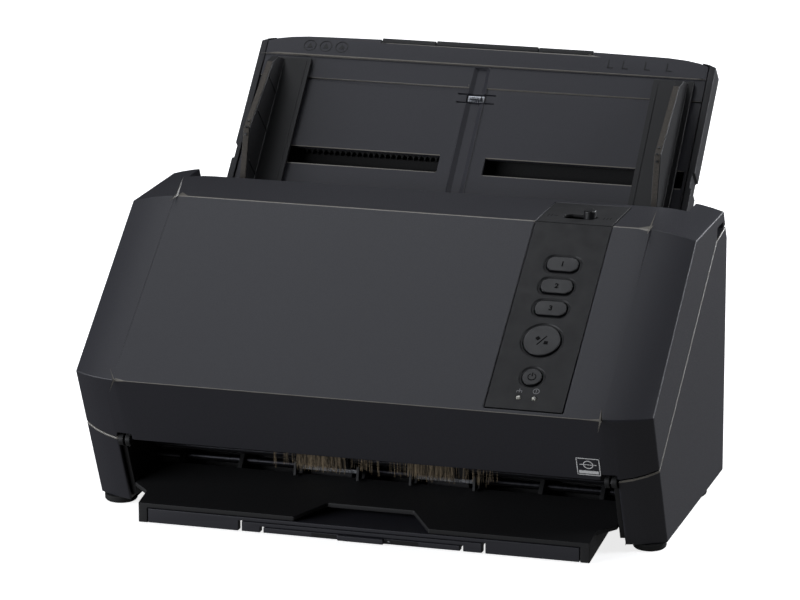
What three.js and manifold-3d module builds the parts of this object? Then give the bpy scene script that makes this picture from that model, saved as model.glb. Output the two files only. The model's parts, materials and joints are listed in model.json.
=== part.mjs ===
// Sheet fed document scanner: base with stacker, forward opening feeder lid, and leaning paper chute.
// Millimetres. +X is right seen from the front, +Y is towards the back, +Z is up.
// The design is laid out with z = 0 on the table and y = 0 near the middle of the base;
// the last step moves it so that the origin is the centre of the bottom of its bounding box.
import * as THREE from "three";
import { mergeVertices } from "three/addons/utils/BufferGeometryUtils.js";
import Module from "manifold-3d";

const wasm = await Module();
wasm.setup();

// ---------------------------------------------------------------- driving dimensions
const GAP = 0.3; // between pieces that touch
const RUN = 1; // running clearance between the lid's frame and the base
const WALL = 2.5; // base mouldings
const LID_WALL = 3;

const WIDTH = 300;
const TOP_Z = 150.2;
const CREASE_Y = -90.2; // lower front crease of the lid
const CREASE_Z = 78.3;
const TOP_CREASE_Y = 9.1; // upper crease, where the big front panel meets the flat top
const UNDERCUT_ANGLE = 24.7; // lean of the lower front from vertical, degrees
const BASE_REAR_Y = 80;
const BASE_BOTTOM_Z = 4;
const FOOT_RADIUS = 8.5;
const FOOT_EDGE = 1; // rounding of the sole
const FOOT_FRONT_Y = -43;
const FOOT_REAR_Y = 47;

const SEAM_ANGLE = 35.5; // parting of lid and base, degrees
const SEAM_Y = 56.1; // where the parting turns to the ear
const SEAM_Z = 134.2;
const SEAM_GAP = 1;
const EAR_WIDTH = 15; // raised rear corners of the lid
const EAR_INNER_X = WIDTH / 2 - EAR_WIDTH;
const EAR_REAR_Y = 78.4;
const EAR_TOP_Y = 72.3;
const EAR_BOTTOM_Z = 137.1;
const LID_REAR_Y = 54.5; // rear edge of the lid between its ears

const SWEEP_LENGTH = 30; // over this the front curves back and the top rolls down
const SWEEP_START_X = WIDTH / 2 - SWEEP_LENGTH;
const SWEEP_RADIUS = 48;
const ROLL_RADIUS = 100;

const SIDE_DEPTH = 19.5; // of the side covers, across the width
const PILLAR_X = WIDTH / 2 - SIDE_DEPTH;
const FRAME_T = 2.7; // side frame plates
const HINGE_Y = -70.5;
const HINGE_Z = 41.5;
const PIN_RADIUS = 1.5;
const LUG_RADIUS = 3.2;

const CHUTE_ANGLE = 44.8; // lean of the paper path from horizontal, degrees
const CHUTE_Y = 107.3; // a point of the paper path: chute coordinate s = 0
const CHUTE_Z = 156.6;
const CHUTE_CLEAR = 4; // between the chute's edge and the side covers' inner faces
const CHUTE_HALF = PILLAR_X - CHUTE_CLEAR;
const CHUTE_RIM = 3.7;
const CHUTE_T = 2.5;
const CHUTE_DEPTH = 11;
const CHUTE_TOP_S = 70;
const CHUTE_CORNER_S = 65;
const CHUTE_LOW_S = -60;
const BAND_S = 57; // raised band at the chute's top
const BAND_RISE = 0.8;
const FIELD_S = 43.3; // recessed middle field of the chute
const FIELD_DROP = 0.6;
const GROOVE_HALF = 5; // groove down the chute's middle, with sloping sides
const GROOVE_BED_HALF = 2.4;
const GROOVE_DEPTH = 1.2;
const SLOT_LOW_S = -10.3; // guide slots
const SLOT_HIGH_S = 0;
const SLOT_INNER_X = 12.5;
const SLOT_EDGE = 2; // chute plate left between a slot's outer end and the rim
const CLIP_S = 36.8; // sheet clip in the groove
const CLIP_HALF_X = 4.6;
const CLIP_HALF_S = 2.2;
const CLIP_SLIT = 0.8;
const CLIP_SLIT_X = 10.5;

const GUIDE_MARGIN = 10.5; // from the middle of a guide's fin, fully open, to the plate's edge
const GUIDE_X = CHUTE_HALF - CHUTE_RIM - GAP - GUIDE_MARGIN;
const GUIDE_T = 3.7;
const GUIDE_FOOT_IN = 17; // the foot's reach to each side of the fin's middle
const GUIDE_FOOT_OUT = 5;
const GUIDE_ARM = 12; // the arm down through the slot, from the fin's middle inwards
const GUIDE_LOW_S = -38;
const GUIDE_HIGH_S = 54;
const GUIDE_KINK_S = -7.8;
const GUIDE_KINK_H = 27.7;
const RACK_MODULE = 1;
const PINION_TEETH = 12;

const TAB_INNER_HALF = 28.3; // chute extension ends
const TAB_OUTER_HALF = 58.8;
const TAB_T = 2.9;
const EXTENSION_T = 2;

const PATH_GAP = 1; // space between the upper and lower paper guides
const PICK_S = -96;
const PICK_RADIUS = 10;
const FEED_S = -118;
const FEED_RADIUS = 8;
const EJECT_S = -188;
const EJECT_RADIUS = 6;
const BRAKE_RADIUS = 8;
const PINCH_RADIUS = 5;
const SHAFT_RADIUS = 2;
const NIP_RISE = 0.3; // a roller's surface above its guide
const PATH_END_S = -180;
const PULLEY_RADIUS = 8;
const BELT_T = 1.2;
const MOTOR_S = -143;
const MOTOR_H = -32;
const MOTOR_RADIUS = 13;
const UPPER_SENSOR_S = -138;
const LOWER_SENSOR_S = -160;
const SENSOR_HALF_S = 8;
const SENSOR_EDGE = 14.5; // from a sensor's end to the side frame
const SENSOR_BODY = 12;
const GLASS_SHORT = 3; // the glass ends this far inside the sensor
const GLASS_T = 1.6;

const BRUSH_T = 1.6; // antistatic brushes over the paper exit
const BRUSH_HALF = 60;
const BRUSH_INNER = 3;
const BRUSH_DROP = 6.7; // below the exit pinch roller's axis
const BRUSH_HEIGHT = 12.5;

const DECK_STEP = 9.4; // stacker deck in front of the pillars, short of the side frames
const DECK_FRONT_Y = -78.3;
const DECK_FRONT_Z = 10.9;
const DECK_ANGLE = 10.6;
const DECK_REAR_Y = -33;
const DECK_T = 2.4;
const SKIRT_T = 4.8;
const STACK_TWO_HALF = 63;
const STACK_THREE_HALF = 51.5;
const BLOCK_CLEAR = 1.65; // between the end block of one plate and the next plate
const BLOCK_LENGTH = 4;
const GRIP_HALF = 12; // lip to pull the inner plate by
const GRIP_OUT = 1.6;
const RECESS_HALF = 35.3; // finger recess in the deck's front
const RECESS_REAR_HALF = 22.6;
const RECESS_LENGTH = 17;
const STACK_PLATE_T = 2;
const STACK_LOW_Z = 0.8;

const STRIP_X0 = 66.7; // control strip on the panel
const STRIP_X1 = 106;
const STRIP_T = 1.6;
const STRIP_V0 = 2.9; // up the panel from the lower crease
const STRIP_REAR_Y = 49;
const BUTTON_X = 86.4;
const BUTTON_TRAVEL = 1;
const BUTTON_CLEAR = 0.5;
const BUTTON_PROUD = 0.4;
const KEY_HALF_X = 8.1;
const KEY_HALF_V = 4.4;
const KEY_CORNER = 3.6;
const KEYS_V = [95.5, 81.2, 66.9];
const SCAN_V = 46.3;
const SCAN_RADIUS = 9.4;
const POWER_V = 23.2;
const POWER_RADIUS = 5;
const LAMP_V = 10.2;
const LAMP_X = [82.3, 90.3];
const LAMP_RADIUS = 1.3;
const DISH = 0.6; // dished ring round each button
const DISH_EXTRA = 1.9;
const SLIDER_X0 = 77.5; // feed mode slider slot
const SLIDER_X1 = 95;
const SLIDER_Y = 23;
const SLIDER_HALF_Y = 4.5;
const KNOB_RADIUS = 3.2;
const KNOB_HEIGHT = 4;
const KNOB_CLEAR = 0.5; // from the knob at rest to the end of its slot
const KNOB_SKIRT = 2.8; // the knob's plate under the strip, past the knob
const STRIP_CLEAR = 0.5; // seam round the strip
const STRIP_LEDGE = 3; // the strip rests on this much of the cover all round
const STEM_W = -7; // lower end of the buttons' stems

const BLADE_IN = 9; // release tab's blade, from the side of the lid
const BLADE_T = 2.8;
const BLADE_CLEAR = 0.6;
const TAB_Y = 2.4; // the tab's front, behind the turn of the parting
const TAB_LENGTH = 11.2;
const TAB_THICK = 2.6;

const RAD = Math.PI / 180;

// ---------------------------------------------------------------- solids
function solid(geometry) {
  geometry.deleteAttribute("normal");
  geometry.deleteAttribute("uv");
  const merged = mergeVertices(geometry, 1e-4);
  const triVerts = new Uint32Array(merged.index.array);
  const vertProperties = new Float32Array(merged.attributes.position.array);
  return new wasm.Manifold(new wasm.Mesh({ numProp: 3, vertProperties, triVerts }));
}

function geometryOf(body) {
  const mesh = body.getMesh();
  const geometry = new THREE.BufferGeometry();
  geometry.setAttribute("position", new THREE.BufferAttribute(mesh.vertProperties, 3));
  geometry.setIndex(new THREE.BufferAttribute(mesh.triVerts, 1));
  const flat = geometry.toNonIndexed();
  flat.computeVertexNormals();
  return flat;
}

const join = (...bodies) => bodies.reduce((a, b) => a.add(b));
const cut = (body, ...tools) => tools.reduce((a, b) => a.subtract(b), body);

function box(x0, x1, y0, y1, z0, z1) {
  const g = new THREE.BoxGeometry(x1 - x0, y1 - y0, z1 - z0);
  g.translate((x0 + x1) / 2, (y0 + y1) / 2, (z0 + z1) / 2);
  return solid(g);
}

function shapeOf(points) {
  return new THREE.Shape(points.map(([a, b]) => new THREE.Vector2(a, b)));
}

// An outline in (y, z) drawn out from x0 to x1. Points run anticlockwise seen from +X.
function prismX(outline, x0, x1, curveSegments = 8) {
  const shape = Array.isArray(outline) ? shapeOf(outline) : outline;
  const g = new THREE.ExtrudeGeometry(shape, {
    depth: x1 - x0,
    bevelEnabled: false,
    curveSegments,
  });
  const toX = new THREE.Matrix4().makeBasis(
    new THREE.Vector3(0, 1, 0),
    new THREE.Vector3(0, 0, 1),
    new THREE.Vector3(1, 0, 0),
  );
  g.applyMatrix4(toX);
  g.translate(x0, 0, 0);
  return solid(g);
}

// An outline in (x, y) drawn up from z0 to z1.
function prismZ(outline, z0, z1, curveSegments = 8) {
  const shape = Array.isArray(outline) ? shapeOf(outline) : outline;
  const g = new THREE.ExtrudeGeometry(shape, {
    depth: z1 - z0,
    bevelEnabled: false,
    curveSegments,
  });
  g.translate(0, 0, z0);
  return solid(g);
}

// A cylinder along X.
function rodX(radius, x0, x1, y, z, segments = 20) {
  const g = new THREE.CylinderGeometry(radius, radius, x1 - x0, segments);
  g.rotateZ(Math.PI / 2);
  g.translate((x0 + x1) / 2, y, z);
  return solid(g);
}

// A cylinder along Z.
function rodZ(radius, x, y, z0, z1, segments = 20) {
  const g = new THREE.CylinderGeometry(radius, radius, z1 - z0, segments);
  g.rotateX(Math.PI / 2);
  g.translate(x, y, (z0 + z1) / 2);
  return solid(g);
}

// A rounded rectangle in the plane of its own group, centred on (x, y).
function roundedOutline(x, y, halfX, halfY, radius) {
  const shape = new THREE.Shape();
  const right = x + halfX - radius;
  const left = x - halfX + radius;
  const high = y + halfY - radius;
  const low = y - halfY + radius;
  shape.absarc(right, low, radius, -Math.PI / 2, 0);
  shape.absarc(right, high, radius, 0, Math.PI / 2);
  shape.absarc(left, high, radius, Math.PI / 2, Math.PI);
  shape.absarc(left, low, radius, Math.PI, 1.5 * Math.PI);
  shape.closePath();
  return shape;
}

// A roller along X: a shaft with tyres, turned as one lathe profile.
function roller(shaftX0, shaftX1, tyreRadius, tyres, y, z) {
  const profile = [[0, shaftX0]];
  profile.push([SHAFT_RADIUS, shaftX0]);
  for (const [x0, x1] of tyres) {
    profile.push([SHAFT_RADIUS, x0], [tyreRadius, x0], [tyreRadius, x1], [SHAFT_RADIUS, x1]);
  }
  profile.push([SHAFT_RADIUS, shaftX1], [0, shaftX1]);
  const points = profile.map(([r, x]) => new THREE.Vector2(r, x));
  const g = new THREE.LatheGeometry(points, 20);
  g.rotateZ(-Math.PI / 2);
  g.translate(0, y, z);
  return solid(g);
}

// ---------------------------------------------------------------- scene graph
const scanner = new THREE.Group();

function material(color, roughness = 0.55, metalness = 0) {
  return new THREE.MeshStandardMaterial({ color, roughness, metalness });
}

function piece(group, name, body, finish) {
  const mesh = new THREE.Mesh(geometryOf(body), finish);
  mesh.name = name;
  group.add(mesh);
}

const finishes = {
  shell: () => material(0x37373b, 0.5),
  inner: () => material(0x1b1b1d, 0.6),
  chute: () => material(0x3a3a3f, 0.55),
  strip: () => material(0x232326, 0.35),
  key: () => material(0x2b2b2f, 0.4),
  rubber: () => material(0x1a1a1a, 0.9),
  steel: () => material(0xa8abb0, 0.3, 1),
  glass: () => material(0x9fb0b8, 0.05),
  board: () => material(0x1f5a38, 0.6),
  gear: () => material(0xd8d4c8, 0.5),
  brush: () => material(0x6f5638, 0.9),
  lamp: () => material(0xc8c8c0, 0.2),
};

// ---------------------------------------------------------------- outer envelope
const PANEL_SLOPE = Math.atan2(TOP_Z - CREASE_Z, TOP_CREASE_Y - CREASE_Y);
const PANEL_LENGTH = Math.hypot(TOP_Z - CREASE_Z, TOP_CREASE_Y - CREASE_Y);
const undercut = Math.tan(UNDERCUT_ANGLE * RAD);
const frontY = (z) => CREASE_Y + (CREASE_Z - z) * undercut;
const seamZ = (y) => SEAM_Z + (y - SEAM_Y) * Math.tan(SEAM_ANGLE * RAD);

const envelopeOutline = [
  [frontY(BASE_BOTTOM_Z), BASE_BOTTOM_Z],
  [BASE_REAR_Y, BASE_BOTTOM_Z],
  [BASE_REAR_Y, EAR_BOTTOM_Z - 3],
  [EAR_REAR_Y, EAR_BOTTOM_Z],
  [EAR_TOP_Y, TOP_Z],
  [TOP_CREASE_Y, TOP_Z],
  [CREASE_Y, CREASE_Z],
];

// The outline moved inwards by a wall, each corner where its two moved edges meet.
function inset(points, wall) {
  const count = points.length;
  return points.map((p, i) => {
    const before = points[(i + count - 1) % count];
    const after = points[(i + 1) % count];
    const a = new THREE.Vector2(p[0] - before[0], p[1] - before[1]).normalize();
    const b = new THREE.Vector2(after[0] - p[0], after[1] - p[1]).normalize();
    const half = new THREE.Vector2(-a.y - b.y, a.x + b.x).normalize();
    const reach = wall / (half.x * -a.y + half.y * a.x);
    return [p[0] + half.x * reach, p[1] + half.y * reach];
  });
}

// How far the front stands back, and how far the top has rolled down, at a place across the width.
function sweepAt(x) {
  const past = Math.max(0, Math.abs(x) - SWEEP_START_X);
  return SWEEP_RADIUS - Math.sqrt(SWEEP_RADIUS ** 2 - past ** 2);
}

function rollAt(x) {
  const past = Math.max(0, Math.abs(x) - SWEEP_START_X);
  return ROLL_RADIUS - Math.sqrt(ROLL_RADIUS ** 2 - past ** 2);
}

// The envelope: an outline drawn across the width, then its ends swept back and rolled down.
function envelope(wall, sideWall = wall) {
  const half = WIDTH / 2 - sideWall;
  const stations = 6;
  const steps = 2 * stations - 1;
  const shape = shapeOf(wall ? inset(envelopeOutline, wall) : envelopeOutline);
  const g = new THREE.ExtrudeGeometry(shape, { depth: steps, steps, bevelEnabled: false });
  const p = g.attributes.position;
  for (let i = 0; i < p.count; i++) {
    const y = p.getX(i);
    const z = p.getY(i);
    const station = Math.round(p.getZ(i));
    const end = station < stations ? -1 : 1;
    const out = end < 0 ? stations - 1 - station : station - stations;
    const x = end * (SWEEP_START_X + ((half - SWEEP_START_X) * out) / (stations - 1));
    const height = Math.min(1, Math.max(0, (z - CREASE_Z) / (TOP_Z - CREASE_Z)));
    const front = y < TOP_CREASE_Y + 5 ? 1 - height : 0;
    p.setXYZ(i, x, y + sweepAt(x) * front, z - rollAt(x) * height);
  }
  return solid(g);
}

const FAR = 400;
// Everything above (side 1) or below (side -1) the parting of lid and base, moved by an offset.
function seamSide(side, offset) {
  const lift = offset / Math.cos(SEAM_ANGLE * RAD);
  const edge = side * FAR;
  const line = [
    [-FAR, seamZ(-FAR) + lift],
    [SEAM_Y, SEAM_Z + lift],
    [EAR_REAR_Y, EAR_BOTTOM_Z + lift],
    [FAR, EAR_BOTTOM_Z + lift],
  ];
  const outline = side > 0
    ? [...line, [FAR, edge], [-FAR, edge]]
    : [[-FAR, seamZ(-FAR) + edge], [FAR, edge], ...line.reverse()];
  return prismX(outline, -FAR, FAR);
}

// ---------------------------------------------------------------- paper path frame
const sinChute = Math.sin(CHUTE_ANGLE * RAD);
const cosChute = Math.cos(CHUTE_ANGLE * RAD);
// A point s along the paper path and h above it, as [y, z].
function path(s, h = 0) {
  return [
    CHUTE_Y + s * cosChute - h * sinChute,
    CHUTE_Z + s * sinChute + h * cosChute,
  ];
}

const chuteGroup = new THREE.Group();
chuteGroup.position.set(0, CHUTE_Y, CHUTE_Z);
chuteGroup.rotation.x = CHUTE_ANGLE * RAD;
scanner.add(chuteGroup);

const panelGroup = new THREE.Group();
panelGroup.position.set(0, CREASE_Y, CREASE_Z);
panelGroup.rotation.x = PANEL_SLOPE;
scanner.add(panelGroup);

function turned(body, group) {
  group.updateMatrix();
  return body.transform(group.matrix.elements);
}

const FRAME_OUT = PILLAR_X - GAP;
const FRAME_IN = FRAME_OUT - FRAME_T;
const INNER_HALF = FRAME_IN - RUN; // half width of the lid's inner frame
const DECK_HALF = FRAME_IN - DECK_STEP;
const STACK_ONE_HALF = DECK_HALF - SKIRT_T - GAP;
const SENSOR_HALF_X = FRAME_IN - SENSOR_EDGE;
const GLASS_HALF_X = SENSOR_HALF_X - GLASS_SHORT;
const BLADE_X = WIDTH / 2 - BLADE_IN;

const pickAxis = path(PICK_S, NIP_RISE - PICK_RADIUS);
const feedAxis = path(FEED_S, NIP_RISE - FEED_RADIUS);
const ejectAxis = path(EJECT_S, NIP_RISE - EJECT_RADIUS);
const motorAxis = path(MOTOR_S, MOTOR_H);
const brakeAxis = path(PICK_S, PATH_GAP - NIP_RISE + BRAKE_RADIUS);
const pinchAxis = path(FEED_S, PATH_GAP - NIP_RISE + PINCH_RADIUS);
const exitPinchAxis = path(EJECT_S, PATH_GAP - NIP_RISE + PINCH_RADIUS);
const BORE = SHAFT_RADIUS + GAP;
const ROLLER_TYRES = [[-42, -20], [20, 42]];

// ---------------------------------------------------------------- base
function sideCover(sign) {
  const outer = envelope(0).intersect(seamSide(-1, -SEAM_GAP / 2));
  const inner = envelope(WALL).intersect(seamSide(-1, -SEAM_GAP / 2 - WALL));
  const x0 = sign > 0 ? PILLAR_X : -FAR;
  const x1 = sign > 0 ? FAR : -PILLAR_X;
  const bladeHalf = BLADE_T / 2 + BLADE_CLEAR;
  const bladeSlot = box(
    BLADE_X - bladeHalf, BLADE_X + bladeHalf,
    SEAM_Y - 6, SEAM_Y + TAB_Y + TAB_LENGTH, SEAM_Z - 14, FAR,
  );
  let body = cut(outer, inner).intersect(box(x0, x1, -FAR, FAR, -FAR, FAR));
  if (sign > 0) body = cut(body, bladeSlot);
  return body;
}

function sideFrame(sign) {
  const x0 = sign > 0 ? FRAME_IN : -FRAME_OUT;
  const x1 = sign > 0 ? FRAME_OUT : -FRAME_IN;
  const plate = envelope(WALL + GAP)
    .intersect(seamSide(-1, -SEAM_GAP / 2 - WALL - GAP))
    .intersect(box(x0, x1, -FAR, BASE_REAR_Y - WALL - GAP, -FAR, FAR));
  const nose = prismX([
    [HINGE_Y, HINGE_Z - LUG_RADIUS],
    [HINGE_Y + 12, HINGE_Z - 8],
    [HINGE_Y + 16, seamZ(HINGE_Y + 16) - 6],
    [HINGE_Y + 3, HINGE_Z + LUG_RADIUS - 1],
  ], x0, x1);
  const eye = rodX(LUG_RADIUS, x0, x1, HINGE_Y, HINGE_Z, 16);
  const wide = (r, [y, z]) => rodX(r, x0 - 1, x1 + 1, y, z, 16);
  return cut(
    join(plate, nose, eye),
    wide(PIN_RADIUS + GAP, [HINGE_Y, HINGE_Z]),
    wide(BORE, pickAxis),
    wide(BORE, feedAxis),
    wide(BORE, ejectAxis),
    wide(SHAFT_RADIUS + 2, motorAxis),
  );
}

function rearCover() {
  const half = FRAME_OUT;
  const y1 = BASE_REAR_Y;
  const y0 = y1 - WALL;
  const chuteS = (y0 - CHUTE_Y - CHUTE_DEPTH * sinChute) / cosChute; // the chute's back at y0
  const [, chuteZ] = path(chuteS, -CHUTE_DEPTH);
  const wall = box(-half, half, y0, y1, BASE_BOTTOM_Z, chuteZ - GAP);
  const ears = [-1, 1].map((side) => {
    const a = side * half;
    const b = side * (CHUTE_HALF + RUN);
    return box(Math.min(a, b), Math.max(a, b), y0, y1, chuteZ - RUN, EAR_BOTTOM_Z - 8);
  });
  const vents = [];
  for (let i = 0; i < 9; i++) {
    const x = 20 + i * 8;
    vents.push(box(x - 1.5, x + 1.5, y0 - 1, y1 + 1, 60, 84));
  }
  const windows = socketList.map(([, x, z, halfX, halfZ]) =>
    box(x - halfX - GAP, x + halfX + GAP, y0 - 1, y1 + 1, z - halfZ - GAP, z + halfZ + GAP));
  return cut(join(wall, ...ears), ...vents, ...windows);
}

// name, x, z, half width, half height, mouth half width, mouth half height
const socketList = [
  ["power_inlet", -96, 26, 5.5, 5.5, 3.2, 3.2],
  ["usb_socket", -70, 26, 6.5, 6, 4.5, 4],
  ["network_socket", -44, 26.5, 8, 7, 6, 5],
];

function socket([, x, z, halfX, halfZ, mouthX, mouthZ]) {
  const y1 = BASE_REAR_Y - 0.4;
  return cut(
    box(x - halfX, x + halfX, y1 - 13, y1, z - halfZ, z + halfZ),
    box(x - mouthX, x + mouthX, y1 - 9, y1 + 1, z - mouthZ, z + mouthZ),
    box(x - 1, x + 1, y1 - 9, y1 + 1, z - mouthZ - 1, z - mouthZ + 1),
  );
}

function basePan() {
  const z0 = BASE_BOTTOM_Z;
  const half = FRAME_OUT - 0.1;
  const floor = box(-half, half, DECK_REAR_Y + 4, BASE_REAR_Y - WALL - GAP, z0, z0 + WALL);
  const ribs = [-90, -30, 30, 90].map((x) =>
    box(x - 1, x + 1, DECK_REAR_Y + 30, BASE_REAR_Y - 20, z0 + WALL - 0.5, z0 + WALL + 3));
  return cut(join(floor, ...ribs), sideFrameKeepOut());
}

// Room for the side frames' lower edges, which stand on the pan's ends.
function sideFrameKeepOut() {
  const slot = (x0, x1) => box(x0 - GAP, x1 + GAP, -FAR, FAR, BASE_BOTTOM_Z + WALL - GAP, FAR);
  return join(slot(FRAME_IN, FRAME_OUT), slot(-FRAME_OUT, -FRAME_IN));
}

function rollerWindows(s, radius, height) {
  const tools = [];
  for (const [x0, x1] of ROLLER_TYRES) {
    const reach = Math.sqrt(radius ** 2 - (radius - height - CHUTE_T) ** 2) + 1.5;
    tools.push(box(x0 - 1, x1 + 1, s - reach, s + reach, -FAR, FAR));
  }
  return join(...tools);
}

function lowerGuide() {
  const s1 = CHUTE_LOW_S - GAP;
  const half = FRAME_IN - GAP;
  const skin = box(-half, half, PATH_END_S, s1, -CHUTE_T, 0);
  const reach = SENSOR_HALF_S - 1 + GAP;
  const wide = GLASS_HALF_X + GAP;
  const window = box(-wide, wide, LOWER_SENSOR_S - reach, LOWER_SENSOR_S + reach, -9, 9);
  const plate = cut(
    skin,
    window,
    rollerWindows(PICK_S, PICK_RADIUS, NIP_RISE),
    rollerWindows(FEED_S, FEED_RADIUS, NIP_RISE),
  );
  const sheet = turned(plate, chuteGroup);
  const [endY, endZ] = path(PATH_END_S, -CHUTE_T / 2);
  const [ejectY, ejectZ] = ejectAxis;
  const low = BASE_BOTTOM_Z + WALL + GAP;
  const beamY = ejectY + EJECT_RADIUS + 1;
  const ribAt = (x) => prismX([
    [DECK_REAR_Y + 2.5, low],
    [beamY + 3, low],
    [beamY + 0.5, endZ + 0.5],
    [endY - 0.8, endZ + 0.6],
    [ejectY - 4.5, ejectZ + 2.6],
    [DECK_REAR_Y + 2.5, 17.5],
  ], x - 1.2, x + 1.2);
  const outer = FRAME_IN - 15.5;
  const ribs = [-outer, -80, -47, -14, 14, 47, 80, outer].map(ribAt);
  const beam = box(-half, half, beamY, beamY + 3, low, endZ + 4);
  const tail = cut(
    join(...ribs, beam),
    rodX(BORE, -FAR, FAR, ejectY, ejectZ, 12),
    turned(box(-FAR, FAR, PATH_END_S - 20, PATH_END_S + 20, -CHUTE_T / 2, 50), chuteGroup),
  );
  return join(sheet, tail);
}

function foot(x, y) {
  const points = [
    [0, 0], [FOOT_RADIUS - FOOT_EDGE, 0], [FOOT_RADIUS, FOOT_EDGE],
    [FOOT_RADIUS, BASE_BOTTOM_Z - GAP], [0, BASE_BOTTOM_Z - GAP],
  ].map(([r, z]) => new THREE.Vector2(r, z));
  const g = new THREE.LatheGeometry(points, 24);
  g.rotateX(Math.PI / 2);
  g.translate(x, y, 0);
  return solid(g);
}

function motor() {
  const [y, z] = motorAxis;
  const x1 = -(FRAME_IN - GAP);
  return cut(
    rodX(MOTOR_RADIUS, -FRAME_IN + GAP, -FRAME_IN + 32, y, z, 24),
    rodX(SHAFT_RADIUS + GAP, x1 - 1, x1 + 12, y, z, 12),
  );
}

const PULLEY_X0 = -(FRAME_OUT + 1);
const PULLEY_X1 = PULLEY_X0 - 8;

// A flanged pulley pressed on the end of a shaft, outside the left side frame.
function pulley([y, z]) {
  const flange = PULLEY_RADIUS + 2.4;
  return join(
    rodX(PULLEY_RADIUS, PULLEY_X1, PULLEY_X0, y, z, 24),
    rodX(flange, PULLEY_X1, PULLEY_X1 + 1, y, z, 24),
    rodX(flange, PULLEY_X0 - 1, PULLEY_X0, y, z, 24),
  );
}

function shaftPulley(axis) {
  const bore = rodX(SHAFT_RADIUS + GAP, PULLEY_X1 - 1, PULLEY_X0 + 1, axis[0], axis[1], 12);
  return cut(pulley(axis), bore);
}

function motorPulley() {
  const [y, z] = motorAxis;
  const shaft = rodX(SHAFT_RADIUS, PULLEY_X0 - 2, -FRAME_IN + GAP + 10, y, z, 12);
  return join(pulley(motorAxis), shaft);
}

// The belt runs round the pulleys, whose centres are taken in order round the loop.
function beltOutline(radius) {
  const centres = [ejectAxis, motorAxis, pickAxis, feedAxis];
  const shape = new THREE.Shape();
  centres.forEach(([y, z], i) => {
    const [py, pz] = centres[(i + 3) % 4];
    const [ny, nz] = centres[(i + 1) % 4];
    const from = Math.atan2(z - pz, y - py) - Math.PI / 2;
    let to = Math.atan2(nz - z, ny - y) - Math.PI / 2;
    while (to < from) to += 2 * Math.PI;
    shape.absarc(y, z, radius, from, to);
  });
  shape.closePath();
  return shape;
}

function belt() {
  const x0 = PULLEY_X1 + 1 + GAP;
  const x1 = PULLEY_X0 - 1 - GAP;
  const inner = PULLEY_RADIUS + GAP;
  return cut(
    prismX(beltOutline(inner + BELT_T), x0, x1, 6),
    prismX(beltOutline(inner), x0 - 1, x1 + 1, 6),
  );
}

function drivenRoller(radius, axis) {
  return roller(PULLEY_X1 + 1, FRAME_OUT + 2, radius, ROLLER_TYRES, ...axis);
}

function sensorBar(s, side) {
  const near = GLASS_T + CHUTE_T - WALL + 1 + GAP;
  const h0 = side > 0 ? PATH_GAP + near + 0.1 : -near - SENSOR_BODY;
  const h1 = side > 0 ? PATH_GAP + near + SENSOR_BODY : -near - 0.1;
  const lightSlot = side > 0 ? [h0 - 1, h0 + 4] : [h1 - 4, h1 + 1];
  const half = SENSOR_HALF_X;
  return cut(
    box(-half, half, s - SENSOR_HALF_S, s + SENSOR_HALF_S, h0, h1),
    box(-half + 8, half - 8, s - 3, s + 3, ...lightSlot),
  );
}

function sensorGlass(s, side) {
  const half = SENSOR_HALF_S - 1;
  const h0 = side > 0 ? PATH_GAP + 0.1 : -0.1 - GLASS_T;
  return box(-GLASS_HALF_X, GLASS_HALF_X, s - half, s + half, h0, h0 + GLASS_T);
}

const BOARD_Z = BASE_BOTTOM_Z + WALL + 5;
function mainBoard() {
  const chips = [[-60, 30], [-20, 45], [30, 35], [70, 50]].map(([x, y]) =>
    box(x - 7, x + 7, y - 6, y + 6, BOARD_Z + 1, BOARD_Z + 4));
  const half = FRAME_IN - 22.5;
  const plate = box(-half, half, 18, BASE_REAR_Y - 16, BOARD_Z, BOARD_Z + 1.6);
  return join(plate, ...chips);
}

function hingePin(sign) {
  const x0 = sign > 0 ? INNER_HALF - 2.4 : -FRAME_OUT + GAP;
  const x1 = sign > 0 ? FRAME_OUT - GAP : -INNER_HALF + 2.4;
  return rodX(PIN_RADIUS, x0, x1, HINGE_Y, HINGE_Z, 12);
}

function makeBase() {
  piece(scanner, "base_pan", basePan(), finishes.inner());
  for (const [name, sign] of [["left", -1], ["right", 1]]) {
    piece(scanner, "side_cover_" + name, sideCover(sign), finishes.shell());
    piece(scanner, "side_frame_" + name, sideFrame(sign), finishes.inner());
    piece(scanner, "hinge_pin_" + name, hingePin(sign), finishes.steel());
    const x = sign * (PILLAR_X + WIDTH / 2) / 2;
    piece(scanner, "foot_front_" + name, foot(x, FOOT_FRONT_Y), finishes.rubber());
    piece(scanner, "foot_rear_" + name, foot(x, FOOT_REAR_Y), finishes.rubber());
  }
  piece(scanner, "rear_cover", rearCover(), finishes.shell());
  piece(scanner, "lower_guide", lowerGuide(), finishes.inner());
  piece(scanner, "drive_motor", motor(), finishes.steel());
  piece(scanner, "motor_pulley", motorPulley(), finishes.gear());
  piece(scanner, "drive_belt", belt(), finishes.rubber());
  piece(scanner, "pick_roller", drivenRoller(PICK_RADIUS, pickAxis), finishes.rubber());
  piece(scanner, "feed_roller", drivenRoller(FEED_RADIUS, feedAxis), finishes.rubber());
  piece(scanner, "eject_roller", drivenRoller(EJECT_RADIUS, ejectAxis), finishes.rubber());
  piece(scanner, "pick_pulley", shaftPulley(pickAxis), finishes.gear());
  piece(scanner, "feed_pulley", shaftPulley(feedAxis), finishes.gear());
  piece(scanner, "eject_pulley", shaftPulley(ejectAxis), finishes.gear());
  piece(scanner, "main_board", mainBoard(), finishes.board());
  for (const entry of socketList) piece(scanner, entry[0], socket(entry), finishes.inner());
  piece(chuteGroup, "lower_image_sensor", sensorBar(LOWER_SENSOR_S, -1), finishes.inner());
  piece(chuteGroup, "lower_glass", sensorGlass(LOWER_SENSOR_S, -1), finishes.glass());
}

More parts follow.
